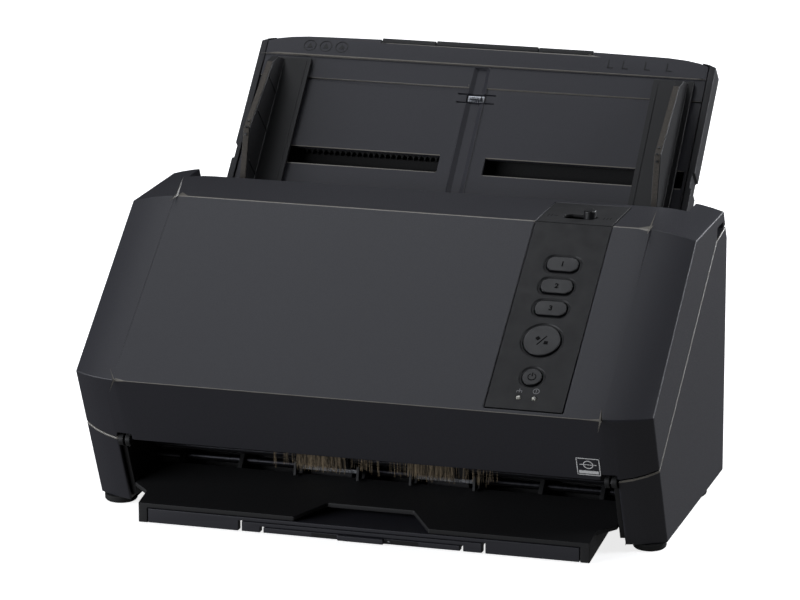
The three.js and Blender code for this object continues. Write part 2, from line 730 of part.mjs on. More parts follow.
// ---------------------------------------------------------------- stacker
const deckSlope = Math.tan(DECK_ANGLE * RAD);
const deckZ = (y) => DECK_FRONT_Z + (y - DECK_FRONT_Y) * deckSlope;
const WING_Y = -59.6; // the deck's side wings meet the pillars here
const BACK_T = 3; // wall behind the nested plates

function stackerTray() {
  const t = DECK_T;
  const front = DECK_FRONT_Y;
  const rear = DECK_REAR_Y;
  const slab = prismX([
    [front, deckZ(front) - t],
    [rear, deckZ(rear) - t],
    [rear, deckZ(rear)],
    [front, deckZ(front)],
  ], -FRAME_IN, FRAME_IN);
  const half = FRAME_IN - GAP;
  const plan = prismZ([
    [-DECK_HALF, front], [DECK_HALF, front], [DECK_HALF, WING_Y - 6], [half, WING_Y + 2],
    [half, rear], [-half, rear], [-half, WING_Y + 2], [-DECK_HALF, WING_Y - 6],
  ], -5, 60);
  const recess = prismZ([
    [-RECESS_HALF, front - 5], [RECESS_HALF, front - 5], [RECESS_HALF, front],
    [RECESS_REAR_HALF, front + RECESS_LENGTH], [-RECESS_REAR_HALF, front + RECESS_LENGTH],
    [-RECESS_HALF, front],
  ], -5, 60);
  const skirt = (sign) => {
    const a = sign * DECK_HALF;
    const b = sign * (STACK_ONE_HALF + GAP);
    return prismX([
      [front, 0.5], [rear, 5], [rear, deckZ(rear) - t / 2], [front, deckZ(front) - t / 2],
    ], Math.min(a, b), Math.max(a, b));
  };
  const floor = box(-DECK_HALF + 1, DECK_HALF - 1, rear - BACK_T, rear, 5.2, 14);
  const deck = cut(slab.intersect(plan), recess);
  return join(deck, skirt(1), skirt(-1), floor);
}

// One nested plate: a flat sheet with end blocks that fill the tray's front.
function stackerExtension(half, blocks, top, rearY) {
  const front = DECK_FRONT_Y;
  const plate = box(-half, half, front, rearY, top - STACK_PLATE_T, top);
  const ends = blocks.map(([x0, x1]) => box(x0, x1, front, front + BLOCK_LENGTH, STACK_LOW_Z, top));
  return join(plate, ...ends);
}

function makeStacker() {
  const topOne = DECK_FRONT_Z - DECK_T - GAP;
  const topTwo = topOne - STACK_PLATE_T - GAP;
  const topThree = topTwo - STACK_PLATE_T - GAP;
  const rear = DECK_REAR_Y - BACK_T - GAP;
  const pair = (next, half) => {
    const inner = next + BLOCK_CLEAR;
    return [[-half, -inner], [inner, half]];
  };
  piece(scanner, "stacker_tray", stackerTray(), finishes.shell());
  const blocksOne = pair(STACK_TWO_HALF, STACK_ONE_HALF);
  const blocksTwo = pair(STACK_THREE_HALF, STACK_TWO_HALF);
  const one = stackerExtension(STACK_ONE_HALF, blocksOne, topOne, rear);
  const two = stackerExtension(STACK_TWO_HALF, blocksTwo, topTwo, rear);
  const three = join(
    stackerExtension(STACK_THREE_HALF, [[-STACK_THREE_HALF, STACK_THREE_HALF]], topThree, rear),
    box(-GRIP_HALF, GRIP_HALF, DECK_FRONT_Y - GRIP_OUT, DECK_FRONT_Y + 1, STACK_LOW_Z, topThree),
  );
  piece(scanner, "stacker_extension_one", one, finishes.shell());
  piece(scanner, "stacker_extension_two", two, finishes.shell());
  piece(scanner, "stacker_extension_three", three, finishes.shell());
}

// ---------------------------------------------------------------- lid
// Everything the lid's skin encloses down to a depth under its surface, ear notch included.
function lidVolume(depth) {
  const notch = EAR_INNER_X + depth;
  const rear = LID_REAR_Y - depth;
  return cut(envelope(depth), box(-notch, notch, rear, FAR, -FAR, FAR));
}

// The strip's band across the panel and the top, from a depth under the skin to well above it.
function stripBand(extra, depth) {
  const [x0, x1] = [STRIP_X0 - extra, STRIP_X1 + extra];
  const onPanel = turned(box(x0, x1, STRIP_V0 - extra, FAR, -60, 20), panelGroup);
  const region = onPanel.intersect(box(x0, x1, -FAR, STRIP_REAR_Y + extra, -FAR, FAR));
  return cut(region, envelope(depth));
}

// A tool in the panel's frame for every button hole: clearance round each cap.
function buttonTools(extra, w0, w1) {
  const keys = KEYS_V.map((v) => {
    const radius = KEY_CORNER + extra;
    const outline = roundedOutline(BUTTON_X, v, KEY_HALF_X + extra, KEY_HALF_V + extra, radius);
    return prismZ(outline, w0, w1, 4);
  });
  const round = [[SCAN_V, SCAN_RADIUS], [POWER_V, POWER_RADIUS]].map(([v, r]) =>
    rodZ(r + extra, BUTTON_X, v, w0, w1, 32));
  return turned(join(...keys, ...round), panelGroup);
}

function lampTools(extra) {
  const rods = LAMP_X.map((x) => rodZ(LAMP_RADIUS + extra, x, LAMP_V, -20, 5, 12));
  return turned(join(...rods), panelGroup);
}

function sliderSlot() {
  const middle = (SLIDER_X0 + SLIDER_X1) / 2;
  const half = (SLIDER_X1 - SLIDER_X0) / 2;
  const outline = roundedOutline(middle, SLIDER_Y, half, SLIDER_HALF_Y, 0.95 * SLIDER_HALF_Y);
  return prismZ(outline, TOP_Z - 20, TOP_Z + 20, 8);
}

// The line where the strip's top plate meets its panel plate.
function creaseGroove() {
  const deep = STRIP_T - 0.6;
  return box(-FAR, FAR, TOP_CREASE_Y - 0.4, TOP_CREASE_Y + 0.4, TOP_Z - deep, TOP_Z + 1);
}

function topCover() {
  const skin = lidVolume(0).intersect(seamSide(1, SEAM_GAP / 2));
  const hollow = lidVolume(LID_WALL);
  const bracket = LUG_RADIUS + RUN;
  const hingeNotch = (sign) => {
    const a = sign * (INNER_HALF - 4);
    const b = sign * PILLAR_X;
    return box(Math.min(a, b), Math.max(a, b), -FAR, HINGE_Y + 14, -FAR, HINGE_Z + bracket);
  };
  const gapRear = SEAM_Y + TAB_Y + TAB_LENGTH + 1.4;
  const fingerGap = box(BLADE_X + 3, FAR, SEAM_Y + 1, gapRear, -FAR, EAR_BOTTOM_Z + 3);
  const seat = stripBand(STRIP_CLEAR, STRIP_T + GAP);
  const window = stripBand(-STRIP_LEDGE, LID_WALL + 1);
  return cut(skin, hollow, seat, window, hingeNotch(1), hingeNotch(-1), fingerGap);
}

function controlStrip() {
  const plate = stripBand(0, STRIP_T).intersect(lidVolume(0));
  const dish = buttonTools(DISH_EXTRA, -DISH, 20);
  return cut(
    plate,
    dish,
    buttonTools(BUTTON_CLEAR, -20, 20),
    lampTools(GAP),
    sliderSlot(),
    creaseGroove(),
  );
}

// The underside of the lid: front ceiling, straight path above the paper, and entry funnel.
function lidUnderside(lift) {
  const [exitY, exitZ] = path(PATH_END_S, PATH_GAP + lift);
  const funnelStart = path(PICK_S + 14, PATH_GAP + lift);
  const rear = LID_REAR_Y - LID_WALL - GAP - lift;
  return [
    [HINGE_Y + 4, HINGE_Z + 2.5 + lift],
    [exitY - 12, exitZ - 1.5 + lift],
    [exitY, exitZ],
    funnelStart,
    [rear, seamZ(rear) - 2 + lift],
    [rear, FAR],
    [-FAR, FAR],
    [-FAR, HINGE_Z + 2.5 + lift],
  ];
}

function upperGuide() {
  const t = 2.5;
  const half = INNER_HALF;
  const space = lidVolume(LID_WALL + RUN);
  const block = prismX(lidUnderside(0), -half, half).intersect(space);
  const hollow = prismX(lidUnderside(t), -half + t, half - t);
  const lugs = [-1, 1].map((sign) => {
    const x0 = Math.min(sign * half, sign * (half - t));
    const x1 = x0 + t;
    const arm = prismX([
      [HINGE_Y - 1, HINGE_Z - LUG_RADIUS],
      [HINGE_Y + 16, HINGE_Z + 2],
      [HINGE_Y + 16, HINGE_Z + 12],
      [HINGE_Y - 1, HINGE_Z + LUG_RADIUS],
    ], x0, x1);
    return join(arm, rodX(LUG_RADIUS, x0, x1, HINGE_Y, HINGE_Z, 16));
  });
  const reach = SENSOR_HALF_S - 1 + GAP;
  const s = UPPER_SENSOR_S;
  const wide = GLASS_HALF_X + GAP;
  const window = turned(box(-wide, wide, s - reach, s + reach, -9, 9), chuteGroup);
  const wheelRoom = (axis, radius) => join(...ROLLER_TYRES.map(([x0, x1]) =>
    rodX(radius + 1, x0 - 1, x1 + 1, axis[0], axis[1], 16)));
  const bores = [brakeAxis, pinchAxis, exitPinchAxis].map(([y, z]) =>
    rodX(BORE, -FAR, FAR, y, z, 12));
  return cut(
    join(cut(block, hollow), ...lugs),
    window,
    wheelRoom(brakeAxis, BRAKE_RADIUS),
    wheelRoom(pinchAxis, PINCH_RADIUS),
    wheelRoom(exitPinchAxis, PINCH_RADIUS),
    ...bores,
    rodX(PIN_RADIUS + GAP, -FAR, FAR, HINGE_Y, HINGE_Z, 12),
    exitSlot(),
  );
}

// The brushes hang just in front of the exit pinch roller.
const BRUSH_Y = exitPinchAxis[0] - PINCH_RADIUS - 1 - BRUSH_T;
const BRUSH_LOW_Z = exitPinchAxis[1] - BRUSH_DROP;
const BRUSH_TOP_Z = BRUSH_LOW_Z + BRUSH_HEIGHT;

function exitSlot() {
  const half = BRUSH_HALF + GAP;
  const y1 = BRUSH_Y + BRUSH_T + GAP;
  return box(-half, half, BRUSH_Y - GAP, y1, BRUSH_LOW_Z, BRUSH_TOP_Z + GAP);
}

function exitBrush(x0, x1) {
  return box(x0, x1, BRUSH_Y, BRUSH_Y + BRUSH_T, BRUSH_LOW_Z, BRUSH_TOP_Z);
}

function idleRoller(radius, axis) {
  return roller(-INNER_HALF + GAP, INNER_HALF - GAP, radius, ROLLER_TYRES, ...axis);
}

const CAP_LOW_W = -STRIP_T - GAP - 1;

function keyCap(v) {
  const stemOutline = roundedOutline(BUTTON_X, v, KEY_HALF_X - 2, KEY_HALF_V - 1.5, 1.5);
  const capOutline = roundedOutline(BUTTON_X, v, KEY_HALF_X, KEY_HALF_V, KEY_CORNER);
  return join(
    prismZ(capOutline, CAP_LOW_W, BUTTON_PROUD, 5),
    prismZ(stemOutline, STEM_W, CAP_LOW_W + 0.5, 3),
  );
}

function roundCap(v, radius) {
  return join(
    rodZ(radius, BUTTON_X, v, CAP_LOW_W, BUTTON_PROUD, 32),
    rodZ(radius - 2, BUTTON_X, v, STEM_W, CAP_LOW_W + 0.5, 16),
  );
}

function buttonBoard() {
  const top = STEM_W - BUTTON_TRAVEL - GAP;
  return box(STRIP_X0 + 4, STRIP_X1 - 4, 8, PANEL_LENGTH - 18, top - 1.6, top);
}

function modeSlider() {
  const x = SLIDER_X1 - KNOB_CLEAR - KNOB_RADIUS;
  const low = TOP_Z - STRIP_T - GAP - 2;
  const reach = KNOB_RADIUS + KNOB_SKIRT;
  return join(
    rodZ(KNOB_RADIUS, x, SLIDER_Y, low, TOP_Z + KNOB_HEIGHT, 24),
    box(x - reach, x + reach, SLIDER_Y - reach, SLIDER_Y + reach, low - 1.5, low + 0.5),
  );
}

function releaseTab() {
  const y0 = SEAM_Y + TAB_Y;
  const z0 = EAR_BOTTOM_Z + 0.2;
  const x0 = BLADE_X - BLADE_T / 2;
  const x1 = WIDTH / 2 - LID_WALL - GAP;
  return join(
    box(x0 - 0.1, x1, y0, y0 + TAB_LENGTH, z0, z0 + TAB_THICK),
    box(x0, x0 + BLADE_T, y0, y0 + 4, SEAM_Z - 8, z0 + 1),
  );
}

function makeLid() {
  piece(scanner, "top_cover", topCover(), finishes.shell());
  piece(scanner, "upper_guide", upperGuide(), finishes.inner());
  piece(scanner, "control_strip", controlStrip(), finishes.strip());
  piece(panelGroup, "button_board", buttonBoard(), finishes.board());
  ["button_one", "button_two", "button_three"].forEach((name, i) =>
    piece(panelGroup, name, keyCap(KEYS_V[i]), finishes.key()));
  piece(panelGroup, "scan_button", roundCap(SCAN_V, SCAN_RADIUS), finishes.key());
  piece(panelGroup, "power_button", roundCap(POWER_V, POWER_RADIUS), finishes.key());
  ["lamp_left", "lamp_right"].forEach((name, i) =>
    piece(panelGroup, name, rodZ(LAMP_RADIUS, LAMP_X[i], LAMP_V, -4, 0.1, 12), finishes.lamp()));
  piece(scanner, "mode_slider", modeSlider(), finishes.key());
  piece(scanner, "release_tab", releaseTab(), finishes.inner());
  piece(scanner, "brake_roller", idleRoller(BRAKE_RADIUS, brakeAxis), finishes.rubber());
  piece(scanner, "pinch_roller", idleRoller(PINCH_RADIUS, pinchAxis), finishes.rubber());
  piece(scanner, "exit_pinch_roller", idleRoller(PINCH_RADIUS, exitPinchAxis), finishes.rubber());
  piece(chuteGroup, "upper_image_sensor", sensorBar(UPPER_SENSOR_S, 1), finishes.inner());
  piece(chuteGroup, "upper_glass", sensorGlass(UPPER_SENSOR_S, 1), finishes.glass());
  piece(scanner, "exit_brush_left", exitBrush(-BRUSH_HALF, -BRUSH_INNER), finishes.brush());
  piece(scanner, "exit_brush_right", exitBrush(BRUSH_INNER, BRUSH_HALF), finishes.brush());
}

// ---------------------------------------------------------------- chute, in its own frame (x, s, h)
const PLATE_HALF = CHUTE_HALF - CHUTE_RIM - GAP;

// The chute's front outline: straight sides, and a top edge that falls to the corners.
function chuteOutline(half, grow) {
  const shape = new THREE.Shape();
  const top = CHUTE_TOP_S + grow;
  const corner = CHUTE_CORNER_S + grow;
  const bend = half * 0.72;
  shape.moveTo(-half, CHUTE_LOW_S);
  shape.lineTo(half, CHUTE_LOW_S);
  shape.lineTo(half, corner);
  shape.quadraticCurveTo(half - 8, top - 0.6, bend, top - 0.5);
  shape.lineTo(TAB_OUTER_HALF, top);
  shape.lineTo(-TAB_OUTER_HALF, top);
  shape.lineTo(-bend, top - 0.5);
  shape.quadraticCurveTo(-half + 8, top - 0.6, -half, corner);
  shape.closePath();
  return shape;
}

function chutePlate() {
  const sheet = prismZ(chuteOutline(PLATE_HALF, 0), -CHUTE_T, BAND_RISE, 4);
  const tabSpace = box(-TAB_OUTER_HALF - GAP, TAB_OUTER_HALF + GAP, CHUTE_TOP_S - 2.2, FAR, -9, 9);
  const slots = [-1, 1].map((sign) => {
    const a = sign * SLOT_INNER_X;
    const b = sign * (PLATE_HALF - SLOT_EDGE);
    return box(Math.min(a, b), Math.max(a, b), SLOT_LOW_S, SLOT_HIGH_S, -9, 9);
  });
  const fields = [-1, 1].map((sign) => {
    const a = sign * GROOVE_HALF;
    const b = sign * (PLATE_HALF + 5);
    return box(Math.min(a, b), Math.max(a, b), -FAR, FIELD_S, -FIELD_DROP, 9);
  });
  const flush = box(-FAR, FAR, -FAR, BAND_S, 0, 9);
  const clipS = CLIP_HALF_S + GAP;
  const clipX = CLIP_HALF_X + GAP;
  const clipSeat = box(-clipX, clipX, CLIP_S - clipS, CLIP_S + clipS, CLIP_BED_H - GAP, 9);
  const slits = [-1, 1].map((side) => {
    const middle = CLIP_S + side * (CLIP_HALF_S + CLIP_SLIT / 2);
    return box(-CLIP_SLIT_X, CLIP_SLIT_X, middle - CLIP_SLIT / 2, middle + CLIP_SLIT / 2, -1.9, 9);
  });
  return cut(sheet, flush, ...fields, middleGroove(), tabSpace, clipSeat, ...slits, ...slots);
}

const CLIP_BED_H = -1.6;

// The groove down the middle: an outline in (x, h), drawn down the chute.
function middleGroove() {
  const shape = shapeOf([
    [-GROOVE_BED_HALF, -GROOVE_DEPTH], [GROOVE_BED_HALF, -GROOVE_DEPTH],
    [GROOVE_HALF, GAP], [GROOVE_HALF, 9], [-GROOVE_HALF, 9], [-GROOVE_HALF, GAP],
  ]);
  const g = new THREE.ExtrudeGeometry(shape, { depth: FAR, bevelEnabled: false });
  g.rotateX(Math.PI / 2);
  g.translate(0, BAND_S - 1, 0);
  return solid(g);
}

function chuteBack() {
  const outer = prismZ(chuteOutline(CHUTE_HALF, 0.2), -CHUTE_DEPTH, 0.4, 4);
  const innerHalf = CHUTE_HALF - CHUTE_RIM;
  const pocket = box(-innerHalf, innerHalf, -FAR, CHUTE_CORNER_S - 6, -CHUTE_DEPTH + CHUTE_FLOOR, 9);
  const seat = prismZ(chuteOutline(innerHalf, 1), -CHUTE_T - GAP, 9, 4);
  const mouth = box(-TAB_OUTER_HALF - GAP, TAB_OUTER_HALF + GAP, 0, FAR, -CHUTE_DEPTH + CHUTE_FLOOR, 9);
  const notch = (sign) => {
    const a = sign * (CHUTE_HALF - 1.2);
    return box(Math.min(a, sign * FAR), Math.max(a, sign * FAR), SLOT_LOW_S, SLOT_HIGH_S - 1, -FAR, FAR);
  };
  const stud = rodZ(SHAFT_RADIUS, 0, PINION_S, -CHUTE_DEPTH + 1, RACK_H1 + 0.1, 12);
  return join(cut(outer, pocket, seat, mouth, notch(1), notch(-1)), stud);
}

const PINION_S = (SLOT_LOW_S + SLOT_HIGH_S) / 2;
const PINION_RADIUS = (RACK_MODULE * PINION_TEETH) / 2;
const PITCH = Math.PI * RACK_MODULE;
const TOOTH_OUT = 0.8 * RACK_MODULE;
const TOOTH_IN = 1.1 * RACK_MODULE;
const RACK_BACK = 2.4; // width of a rack bar behind its teeth
const CHUTE_FLOOR = 2; // back wall of the chute
const RACK_H0 = -CHUTE_DEPTH + CHUTE_FLOOR + 2 * GAP;
const RACK_H1 = RACK_H0 + 2.4;

function guidePinion() {
  const shape = new THREE.Shape();
  const half = Math.PI / PINION_TEETH;
  for (let i = 0; i < PINION_TEETH; i++) {
    const middle = (2 * i + 1) * half;
    const corners = [[-0.62, -TOOTH_IN], [-0.22, TOOTH_OUT], [0.22, TOOTH_OUT], [0.62, -TOOTH_IN]];
    corners.forEach(([share, step]) => {
      const r = PINION_RADIUS + step;
      const angle = middle + share * half;
      const place = [r * Math.cos(angle), PINION_S + r * Math.sin(angle)];
      if (i === 0 && share === -0.62) shape.moveTo(...place);
      else shape.lineTo(...place);
    });
  }
  shape.closePath();
  return cut(prismZ(shape, RACK_H0 + 0.1, RACK_H1 - 0.1), rodZ(BORE, 0, PINION_S, -20, 5, 12));
}

// A rack bar on one side of the pinion (side 1 above it, -1 below), from x0 to x1.
function rack(side, x0, x1) {
  const pitchS = PINION_S + side * PINION_RADIUS;
  const back = pitchS + side * (TOOTH_IN + RACK_BACK);
  const root = pitchS + side * TOOTH_IN;
  const tip = pitchS - side * TOOTH_OUT;
  const points = [[x1, root], [x1, back], [x0, back], [x0, root]];
  const first = Math.ceil((x0 + 1.2) / PITCH);
  const last = Math.floor((x1 - 1.2) / PITCH);
  for (let k = first; k <= last; k++) {
    const at = (share) => (k + share) * PITCH;
    points.push([at(-0.28), root], [at(-0.1), tip], [at(0.1), tip], [at(0.28), root]);
  }
  if (side < 0) points.reverse();
  return prismZ(points.reverse(), RACK_H0, RACK_H1);
}

function guide(sign) {
  const low = GAP;
  const armX = GUIDE_X - GUIDE_ARM;
  const fin = prismX([
    [GUIDE_LOW_S, low], [GUIDE_HIGH_S, low], [47.5, 12.8], [40.5, 18.3],
    [GUIDE_KINK_S, GUIDE_KINK_H], [GUIDE_LOW_S, 10.2],
  ], GUIDE_X - GUIDE_T / 2, GUIDE_X + GUIDE_T / 2);
  const foot = box(
    GUIDE_X - GUIDE_FOOT_IN, GUIDE_X + GUIDE_FOOT_OUT, GUIDE_LOW_S, GUIDE_HIGH_S, low, low + WALL,
  );
  const arm = box(armX, GUIDE_X, SLOT_LOW_S + 1, SLOT_HIGH_S - 1, RACK_H1 + 1, low + 1);
  const rackSide = sign < 0 ? 1 : -1;
  const bridgeFar = PINION_S + rackSide * (PINION_RADIUS + TOOTH_IN + RACK_BACK);
  const across = (far, h0) => box(
    armX, GUIDE_X, Math.min(bridgeFar, far), Math.max(bridgeFar, far), h0, -CHUTE_T - GAP,
  );
  const bridge = across(PINION_S - rackSide * 3, RACK_H1 + 0.5);
  const drop = across(bridgeFar - rackSide * RACK_BACK, RACK_H0);
  const half = join(fin, foot, arm, bridge, drop);
  const bar = sign > 0 ? rack(rackSide, -7, GUIDE_X) : rack(rackSide, -GUIDE_X, 7);
  return join(sign > 0 ? half : half.mirror([1, 0, 0]), bar);
}

const EXTENSION_LOW_S = 8;
const TAB_S = CHUTE_TOP_S - 2; // the end tabs start here, just above the chute plate

function chuteExtensionOne() {
  const h1 = -CHUTE_T - GAP;
  const h0 = h1 - EXTENSION_T;
  const plate = box(-TAB_OUTER_HALF, TAB_OUTER_HALF, EXTENSION_LOW_S, TAB_S - 0.2, h0, h1);
  const ends = [-1, 1].map((sign) => {
    const a = sign * (TAB_INNER_HALF + GAP);
    const b = sign * TAB_OUTER_HALF;
    const [x0, x1] = [Math.min(a, b), Math.max(a, b)];
    return join(
      box(x0, x1, TAB_S, TAB_S + TAB_T, h0, BAND_RISE),
      box(x0, x1, TAB_S - 0.5, TAB_S + 0.5, h0, h1),
    );
  });
  return join(plate, ...ends);
}

function chuteExtensionTwo() {
  const h1 = -CHUTE_T - EXTENSION_T - 2 * GAP;
  const h0 = h1 - EXTENSION_T;
  const half = TAB_INNER_HALF;
  return join(
    box(-half, half, EXTENSION_LOW_S, TAB_S + 0.5, h0, h1),
    box(-half, half, TAB_S + 0.1, TAB_S + TAB_T + GAP, h0, BAND_RISE),
  );
}

// A small pin across the groove on a bent strip.
function sheetClip() {
  const bed = [-CLIP_HALF_X, CLIP_HALF_X, CLIP_S - CLIP_HALF_S + GAP, CLIP_S + CLIP_HALF_S - GAP];
  return join(
    rodX(1.2, -3.3, 3.3, CLIP_S, -0.2, 12),
    box(...bed, CLIP_BED_H, CLIP_BED_H + 0.6),
  );
}

function makeChute() {
  piece(chuteGroup, "chute_plate", chutePlate(), finishes.chute());
  piece(chuteGroup, "chute_back", chuteBack(), finishes.chute());
  piece(chuteGroup, "guide_left", guide(-1), finishes.chute());
  piece(chuteGroup, "guide_right", guide(1), finishes.chute());
  piece(chuteGroup, "guide_pinion", guidePinion(), finishes.gear());
  piece(chuteGroup, "chute_extension_one", chuteExtensionOne(), finishes.chute());
  piece(chuteGroup, "chute_extension_two", chuteExtensionTwo(), finishes.chute());
  piece(chuteGroup, "sheet_clip", sheetClip(), finishes.steel());
}

makeBase();
makeStacker();
makeLid();
makeChute();

const extent = new THREE.Box3().setFromObject(scanner, true);
scanner.position.y = -(extent.min.y + extent.max.y) / 2;
scanner.position.z = -extent.min.z;

export default scanner;
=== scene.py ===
"""A sheet fed document scanner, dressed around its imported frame."""

import json
import math
import random

import bmesh
import bpy
from mathutils import Matrix, Quaternion, Vector

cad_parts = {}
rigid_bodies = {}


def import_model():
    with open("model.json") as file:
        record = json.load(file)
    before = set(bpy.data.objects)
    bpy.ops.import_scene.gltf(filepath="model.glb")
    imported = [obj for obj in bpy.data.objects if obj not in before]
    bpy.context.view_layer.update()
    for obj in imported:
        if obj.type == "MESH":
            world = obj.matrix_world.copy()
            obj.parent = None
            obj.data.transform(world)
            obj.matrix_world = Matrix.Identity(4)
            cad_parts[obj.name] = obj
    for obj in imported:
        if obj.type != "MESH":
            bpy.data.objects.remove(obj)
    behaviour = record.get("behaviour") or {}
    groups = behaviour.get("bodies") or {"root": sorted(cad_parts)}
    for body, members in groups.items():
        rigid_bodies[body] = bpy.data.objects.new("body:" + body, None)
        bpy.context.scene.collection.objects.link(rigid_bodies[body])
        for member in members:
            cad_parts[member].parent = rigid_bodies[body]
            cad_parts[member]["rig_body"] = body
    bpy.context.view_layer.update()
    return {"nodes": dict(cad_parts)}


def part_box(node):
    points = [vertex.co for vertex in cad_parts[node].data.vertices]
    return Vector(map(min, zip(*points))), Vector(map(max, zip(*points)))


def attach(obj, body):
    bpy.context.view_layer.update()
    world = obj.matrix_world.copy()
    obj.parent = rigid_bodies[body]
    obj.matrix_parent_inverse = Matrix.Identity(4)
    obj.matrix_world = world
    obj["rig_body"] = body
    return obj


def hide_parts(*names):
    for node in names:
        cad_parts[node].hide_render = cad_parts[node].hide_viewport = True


bl_info = {
    "name": "Sheet fed document scanner",
    "version": (1, 0, 0),
    "blender": (4, 5, 0),
    "location": "View3D > Sidebar > Scanner",
    "description": "Builds the looks of a sheet fed document scanner around its frame",
    "category": "Object",
}

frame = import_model()

MM = 0.001
# Places are in the layout's millimetres. Its y = 0 is BACK_Y ahead of the base's back.
BACK_Y = 80
LAYOUT_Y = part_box("rear_cover")[1].y - BACK_Y * MM
# The creases below and above the slanted panel, as y and z.
LOW_CREASE = (-90.2, 78.3)
HIGH_CREASE = (9.1, 150.2)
TOP_Z = HIGH_CREASE[1]
CHUTE_LEAN = math.radians(44.8)
PANEL_LEAN = math.atan2(HIGH_CREASE[1] - LOW_CREASE[1], HIGH_CREASE[0] - LOW_CREASE[0])
UNDER_LEAN = math.radians(90 + 24.7)
# Edges that turn by more than the first are rounded.
# A piece left unrounded shades smooth up to the second.
EDGE_ANGLE = math.radians(24)
CURVE_ANGLE = math.radians(32)
# A Mix node's colour sockets go by index, since their names repeat for each data type.
MIX_FACTOR, MIX_A, MIX_B, MIX_RESULT = 0, 6, 7, 2


def layout(x=0.0, y=0.0, z=0.0, lean=0.0):
    """The place of a sub-frame laid out in millimetres, leaning about X."""
    spot = Matrix.Translation((x * MM, LAYOUT_Y + y * MM, z * MM))
    return spot @ Matrix.Rotation(lean, 4, "X") @ Matrix.Scale(MM, 4)


BODY_PLACE = layout()
CHUTE_PLACE = layout(0, 107.3, 156.6, CHUTE_LEAN)  # x, up the chute, out of its face
PANEL_PLACE = layout(0, *LOW_CREASE, PANEL_LEAN)  # x, up the panel, out of its face
UNDER_PLACE = layout(0, *LOW_CREASE, UNDER_LEAN)  # x, up the undercut front, out of its face
# Turns an outline drawn in x and y, and raised in z, to lie in y and z and be raised in x.
ACROSS = Matrix(((0, 0, 1, 0), (1, 0, 0, 0), (0, 1, 0, 0), (0, 0, 0, 1)))


# ------------------------------------------------------------------ finishes
def linear(hex_colour):
    """An sRGB hex colour as linear red, green and blue."""
    parts = [int(hex_colour[i : i + 2], 16) / 255 for i in (1, 3, 5)]
    return tuple(c / 12.92 if c <= 0.04045 else ((c + 0.055) / 1.055) ** 2.4 for c in parts)


def toned(colour, factor):
    """A colour made lighter or darker, with its alpha."""
    return (*(min(1.0, c * factor) for c in colour[:3]), 1.0)


def per_mm(size_mm):
    """The scale that makes a pattern's features that many millimetres across."""
    return 1 / (size_mm * MM)


def add_node(tree, kind, settings=None, links=None):
    """Adds a shader node, sets its properties and sockets, and links its inputs."""
    node = tree.nodes.new(kind)
    for key, value in (settings or {}).items():
        if isinstance(key, int) or key in node.inputs:
            node.inputs[key].default_value = value
        else:
            setattr(node, key, value)
    for key, source in (links or {}).items():
        output = source.outputs[0] if isinstance(source, bpy.types.Node) else source
        tree.links.new(output, node.inputs[key])
    return node


def start_finish(name):
    """A material with an empty node tree, and its object coordinates."""
    finish = bpy.data.materials.new(name)
    finish.use_nodes = True
    tree = finish.node_tree
    tree.nodes.clear()
    return finish, tree, add_node(tree, "ShaderNodeTexCoord").outputs["Object"]


def end_finish(finish, tree, settings, links):
    """Closes a finish with its shader and output."""
    shader = add_node(tree, "ShaderNodeBsdfPrincipled", settings, links)
    add_node(tree, "ShaderNodeOutputMaterial", None, {"Surface": shader})
    return finish


def moulded_abs(name, colour, roughness, grain_mm=0.55, depth_mm=0.012, mottle=0.08):
    """Injection-moulded ABS with a spark-eroded grain: a soft sheen broken into fine speckle."""
    finish, tree, at = start_finish(name)
    # The real grain is about 0.15 mm, too fine to show, so it is drawn a little coarser.
    grain = add_node(
        tree, "ShaderNodeTexNoise",
        {"Scale": per_mm(grain_mm), "Detail": 3.0, "Roughness": 0.65}, {"Vector": at}
    )
    # The melt's slow change of tone over about 45 mm.
    flow = add_node(
        tree, "ShaderNodeTexNoise",
        {"Scale": per_mm(45), "Detail": 2.0}, {"Vector": at}
    )
    tone = add_node(
        tree, "ShaderNodeMix",
        {"data_type": "RGBA", MIX_A: toned(colour, 1 - mottle), MIX_B: toned(colour, 1 + mottle)},
        {MIX_FACTOR: flow}
    )
    speck = add_node(
        tree, "ShaderNodeMapRange",
        {"From Min": 0.35, "From Max": 0.65}, {"Value": grain}
    )
    tint = add_node(
        tree, "ShaderNodeMix",
        {"data_type": "RGBA", MIX_A: toned(colour, 0.8)},
        {MIX_FACTOR: speck, MIX_B: tone.outputs[MIX_RESULT]}
    )
    gloss = add_node(
        tree, "ShaderNodeMapRange",
        {"From Min": 0.3, "From Max": 0.7, "To Min": roughness + 0.06, "To Max": roughness - 0.06},
        {"Value": grain}
    )
    relief = add_node(
        tree, "ShaderNodeBump",
        {"Strength": 0.5, "Distance": depth_mm * MM}, {"Height": grain}
    )
    links = {"Base Color": tint.outputs[MIX_RESULT], "Roughness": gloss, "Normal": relief}
    return end_finish(finish, tree, {"IOR": 1.53}, links)


